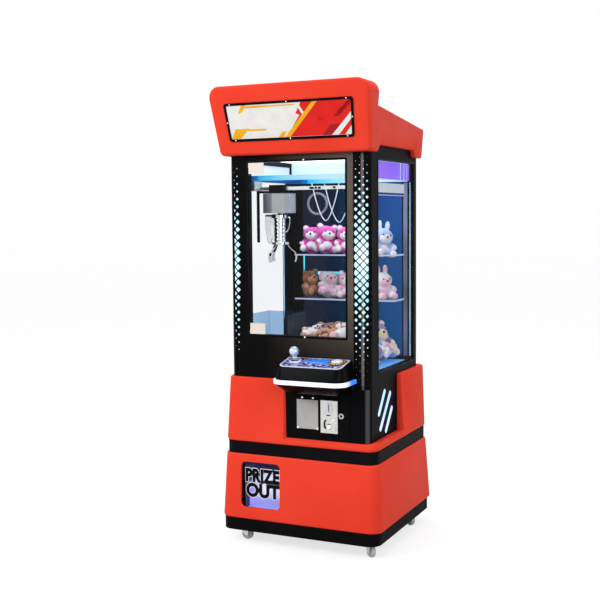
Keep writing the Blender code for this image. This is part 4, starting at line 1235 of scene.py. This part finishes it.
def toy_mesh(kind, seed):
    """One toy as a remeshed skin over its ellipsoids, with bead eyes and a nose."""
    rand = random.Random(seed)
    parts = toy_parts(kind)
    bm = bmesh.new()
    for centre, radii, _ in parts:
        made = bmesh.ops.create_icosphere(bm, subdivisions=3, radius=1)
        for vert in made["verts"]:
            vert.co = centre + Vector(a * b for a, b in zip(vert.co, radii))
    item = linked("toy", made_mesh(bm, "toy"))
    remesh = item.modifiers.new("remesh", "REMESH")
    remesh.mode = "VOXEL"
    remesh.voxel_size = 0.030
    relax = item.modifiers.new("relax", "SMOOTH")
    relax.factor = 0.5
    relax.iterations = 3
    mesh = applied(item).data
    bpy.data.objects.remove(item)
    for vert in mesh.vertices:
        vert.co += vert.normal * rand.uniform(-0.004, 0.004)
    for polygon in mesh.polygons:
        nearest, index = 9.0, 0
        for centre, radii, material in parts:
            offset = polygon.center - centre
            reach = math.sqrt(sum((o / r) ** 2 for o, r in zip(offset, radii))) - 0.02 * material
            if reach < nearest:
                nearest, index = reach, material
        polygon.material_index = index
    bm = bmesh.new()
    bm.from_mesh(mesh)
    beads = (((-0.130, -0.285, 0.715), 0.030), ((0.130, -0.285, 0.715), 0.030), ((0, -0.342, 0.650), 0.038))
    for centre, radius in beads:
        start = len(bm.faces)
        made = bmesh.ops.create_icosphere(bm, subdivisions=2, radius=radius)
        for vert in made["verts"]:
            vert.co += Vector(centre)
        bm.faces.ensure_lookup_table()
        for face in bm.faces[start:]:
            face.material_index = 2
    return made_mesh(bm, "toy")


def toy(name, source, colours, spot, height, turn, limits, slot):
    """A copy of a toy, turned and kept inside the space of its CAD block."""
    mesh = source.copy()
    for colour in (*colours, EYES):
        mesh.materials.append(colour)
    rx, ry, rz = (Matrix.Rotation(math.radians(angle), 4, axis) for angle, axis in zip(turn, "XYZ"))
    mesh.transform(Matrix.Scale(height, 4))
    mesh.transform(rz @ ry @ rx)
    spans = list(zip(*(vert.co for vert in mesh.vertices)))
    low, high = (Vector(pick(span) for span in spans) for pick in (min, max))
    middle = (low + high) / 2
    shift = Vector(spot) - Vector((middle.x, middle.y, low.z))
    for axis in range(3):
        shift[axis] = max(shift[axis], limits[0][axis] - low[axis])
        shift[axis] = min(shift[axis], limits[1][axis] - high[axis])
    item = piece(name, moved(mesh, Matrix.Translation(shift)), None)
    return item


def make_toys():
    """Toys on the two shelves and in the pile. Each group's CAD block is hidden."""
    bear, bunny, pup = toy_mesh("bear", 1), toy_mesh("bunny", 2), toy_mesh("pup", 3)
    blocks = ("plush_shelf_upper", "plush_shelf_lower", "plush_pile")
    spaces = [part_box(name) for name in blocks]
    for shelf in spaces[:2]:
        shelf[0].x -= 0.026
        shelf[1].z += 0.034
    spaces[2][1].z += 0.010
    upper, lower, floor = (low.z for low, high in spaces)
    on_upper = [
        ("magenta_bear_1", bear, (PINK, WHITE), (-0.137, 0.178, upper), 0.124, (-8, 0, 10)),
        ("magenta_bear_2", bear, (PINK, WHITE), (-0.050, 0.170, upper), 0.130, (-5, 8, 40)),
        ("magenta_bear_3", bear, (PINK, WHITE), (0.036, 0.178, upper), 0.124, (-6, 0, 14)),
        ("cream_bear", bear, (STRAW, WHITE), (0.122, 0.178, upper), 0.126, (-5, 0, 50)),
        ("blue_bunny", bunny, (BLUE, WHITE), (0.222, 0.172, upper), 0.132, (0, 8, 50)),
    ]
    on_lower = [
        ("brown_bear_1", bear, (BROWN, TAN), (-0.135, 0.180, lower), 0.124, (-10, 0, 55)),
        ("rose_pup", pup, (WHITE, ROSE), (-0.045, 0.170, lower), 0.122, (-10, 12, 25)),
        ("rose_bear", bear, (ROSE, WHITE), (0.042, 0.180, lower), 0.118, (0, 0, 10)),
        ("white_bunny_1", bunny, (WHITE, STRAW), (0.126, 0.180, lower), 0.106, (0, 0, 40)),
        ("white_bunny_2", bunny, (WHITE, ROSE), (0.222, 0.172, lower), 0.126, (0, 0, 55)),
    ]
    heap = [
        (bear, (TAN, WHITE), (0.000, -0.150, 0.815), 0.125, (-60, 20, 30)),
        (pup, (WHITE, LILAC), (-0.020, -0.050, 0.800), 0.135, (-50, 0, 60)),
        (bear, (BROWN, TAN), (0.085, -0.160, 0.820), 0.140, (-60, 0, -20)),
        (bunny, (LILAC, WHITE), (0.085, -0.070, floor), 0.125, (-40, 30, 10)),
        (bear, (BROWN, TAN), (0.010, 0.040, 0.800), 0.150, (-30, 0, 40)),
        (pup, (WHITE, LILAC), (0.165, -0.150, 0.785), 0.130, (-60, 0, 60)),
        (bear, (TAN, WHITE), (0.110, 0.020, 0.785), 0.130, (-30, 20, 20)),
        (bunny, (BLUE, WHITE), (0.225, -0.060, floor), 0.125, (-20, 0, 80)),
        (bear, (WHITE, ROSE), (0.020, 0.140, floor), 0.130, (-20, 0, 20)),
        (pup, (BROWN, WHITE), (0.225, 0.060, floor), 0.130, (-30, 0, 70)),
        (bear, (ROSE, WHITE), (0.110, 0.130, floor), 0.130, (-20, 0, 30)),
        (bear, (LILAC, STRAW), (0.235, 0.170, 0.765), 0.155, (-10, 0, 65)),
        (bear, (TAN, WHITE), (0.030, 0.220, floor), 0.125, (-10, 0, 20)),
        (bear, (LILAC, WHITE), (0.120, 0.220, floor), 0.125, (-10, 0, 50)),
        (bear, (BROWN, TAN), (0.060, -0.110, 0.820), 0.115, (-75, 0, 50)),
        (pup, (TAN, WHITE), (0.150, -0.070, 0.815), 0.115, (-60, 0, -30)),
        (pup, (WHITE, ROSE), (0.230, -0.145, 0.735), 0.185, (-15, 0, 75)),
        (bear, (BROWN, LILAC), (0.230, -0.030, 0.760), 0.165, (-25, 0, 80)),
        (bear, (BLUE, WHITE), (0.235, 0.075, 0.765), 0.160, (-15, 0, 70)),
        (bear, (TAN, WHITE), (0.060, 0.060, 0.815), 0.115, (-50, 0, 30)),
        (pup, (WHITE, LILAC), (-0.020, -0.170, 0.760), 0.120, (-60, 0, 70)),
        (bear, (TAN, WHITE), (0.130, -0.180, floor), 0.120, (-60, 0, 10)),
        (bear, (BROWN, TAN), (0.000, 0.080, floor), 0.120, (-20, 0, 60)),
        (pup, (BROWN, LILAC), (0.262, -0.060, floor), 0.130, (-50, 0, 70)),
        (bear, (BLUE, WHITE), (0.262, 0.040, floor), 0.150, (-50, 0, 60)),
        (pup, (WHITE, ROSE), (0.262, 0.140, floor), 0.150, (-45, 0, 70)),
        (bunny, (BLUE, WHITE), (0.262, 0.230, floor), 0.150, (-20, 0, 60)),
    ]
    heap = [(f"pile_toy_{index}", *row) for index, row in enumerate(heap, 1)]
    slots = ("plush_pink", "plush_brown", "plush_mixed")
    for node, rows, space, slot in zip(blocks, (on_upper, on_lower, heap), spaces, slots):
        toys = [toy(*row, space, slot) for row in rows]
        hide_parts(node)


# ---------------------------------------------------------------- build


def dress_nodes():
    """Finishes of the CAD nodes, and the widths of their rounded edges."""
    dress(BLACK, "base_plinth", 0.004, 3)
    dress(BELT, "belt_band", 0.001)
    dress(SATIN, "tower_frame", 0.0015)
    dress(CABINET, "lower_cabinet", 0.002)
    for corner in ("front_left", "front_right", "rear_left", "rear_right"):
        dress(STEEL, f"caster_fork_{corner}")
        dress(RUBBER, f"caster_wheel_{corner}")
    dress(BLACK, "coin_door trolley shelf_post marquee_bezel mains_inlet", 0.0006)
    dress(PLATE, "blank_plate")
    dress(BRUSHED, "coin_acceptor", 0.0008)
    dress(lock_look(), "door_lock")
    dress(CHROME, "coin_return_button claw_core claw_finger_1 claw_finger_2 claw_finger_3")
    dress(SILVER, "console_panel", 0.0006)
    dress(SCREEN, "display", 0.0004)
    dress(STRIP, "console_light_strip", 0.002, 3)
    dress(BARS, "left_light_bars right_light_bars")
    dress(BALL, "joystick_stick")
    dress(STEEL, "joystick_gimbal")
    dress(button_look(), "push_button")
    dress(CLEAR, "front_door_glass")
    dress(SIDE_CLEAR, "left_side_glass right_side_glass")
    dress(ACRYLIC, "shelf_lower shelf_upper")
    dress(GUARD, "chute_guard")
    dress(FLAP, "prize_flap")
    dress(CREAM, "door_patch_top door_patch_bottom", 0.0006)
    dress(DECK, "playfield_deck", 0.001)
    dress(NAVY, "rear_door", 0.001)
    dress(BRUSHED, "prize_chute")
    dress(tray(), "prize_box")
    dress(CEILING, "ceiling_light")
    dress(BRUSHED, "bridge_beam", 0.0008)
    dress(light_band(), "gantry_rails", 0.0008)
    dress(GREY, "hoist_cover", 0.0012, 3)
    dress(ART_WHITE, "marquee_panel")
    for name in ("joystick_stick", "push_button", "claw_core", "coin_return_button", "door_lock"):
        for polygon in NODES[name].data.polygons:
            polygon.use_smooth = True


def seen_directly(tree):
    """1 for a ray from the camera, a mirror or a pane, and 0 for the rest."""
    path = tree.nodes.new("ShaderNodeLightPath")
    camera, mirror, pane = (path.outputs[f"Is {ray} Ray"] for ray in ("Camera", "Glossy", "Transmission"))
    return calc(tree, "MAXIMUM", calc(tree, "MAXIMUM", camera, mirror), pane)


def make_stage():
    """A pale floor and a white world, both brighter to the camera than as light."""
    reach = 40
    floor = drawn([(-reach, -reach), (reach, -reach), (reach, reach), (-reach, reach)], -0.02, -0.0005)
    material, tree, shader = blank("pale floor")
    grey = ramp(tree, noise(tree, 3, 2), (0.3, (0.38, 0.38, 0.38)), (0.7, (0.36, 0.36, 0.365)))
    feed(shader, Base_Color=grey, Roughness=0.8, Specular_IOR_Level=0.1)
    level = calc(tree, "MULTIPLY", seen_directly(tree), 0.72)
    light = add(tree, "Emission", Color=(1, 1, 1, 1), Strength=level)
    both = tree.nodes.new("ShaderNodeAddShader")
    plug(both.inputs[0], shader.outputs[0])
    plug(both.inputs[1], light.outputs[0])
    feed(tree.nodes["Material Output"], Surface=both.outputs[0])
    piece("floor", floor, material, None)

    world = bpy.data.worlds.new("studio")
    bpy.context.scene.world = world
    world.use_nodes = True
    tree = world.node_tree
    strength = spread(tree, seen_directly(tree), 0.62, 1.0, 0.0, 1.0)
    feed(tree.nodes["Background"], Color=(1, 1, 1, 1), Strength=strength)


def lamp(name, spot, target, size, power):
    data = bpy.data.lights.new(name, "AREA")
    data.shape = "DISK"
    data.size = size
    data.energy = power
    item = linked(name, data)
    item.location = spot
    item.rotation_euler = (Vector(target) - Vector(spot)).to_track_quat("-Z", "Y").to_euler()


def make_lights():
    lamp("key", (-2.2, -3.6, 3.2), (0, 0, 0.9), 2.6, 120)
    lamp("fill", (3.4, -2.4, 2.0), (0, 0, 0.9), 2.6, 45)
    lamp("top", (0.2, 0.4, 4.2), (0, 0, 1.0), 2.5, 40)


def make_camera():
    """The photo's camera: its place, yaw, pitch, roll, lens and shift."""
    yaw, pitch, roll = (math.radians(angle) for angle in (25.24, -4.48, -0.484))
    data = bpy.data.cameras.new("camera")
    data.sensor_width = 36
    data.lens = 62.14
    data.shift_x = 0.00186
    data.shift_y = -0.00213
    item = linked("camera", data)
    turn = Matrix.Rotation(yaw, 4, "Z") @ Matrix.Rotation(math.pi / 2 + pitch, 4, "X")
    item.matrix_world = Matrix.Translation((1.7745, -3.9962, 1.3530)) @ turn @ Matrix.Rotation(roll, 4, "Z")
    bpy.context.scene.camera = item


dress_nodes()
make_cowls()
make_marquee()
make_art()
make_posts()
make_window_trim()
make_interior()
make_cables()
make_gantry()
make_claw()
make_console()
make_coin_door()
make_flap_words()
make_toys()
make_stage()
make_lights()
make_camera()
bpy.context.scene.view_settings.view_transform = "Standard"
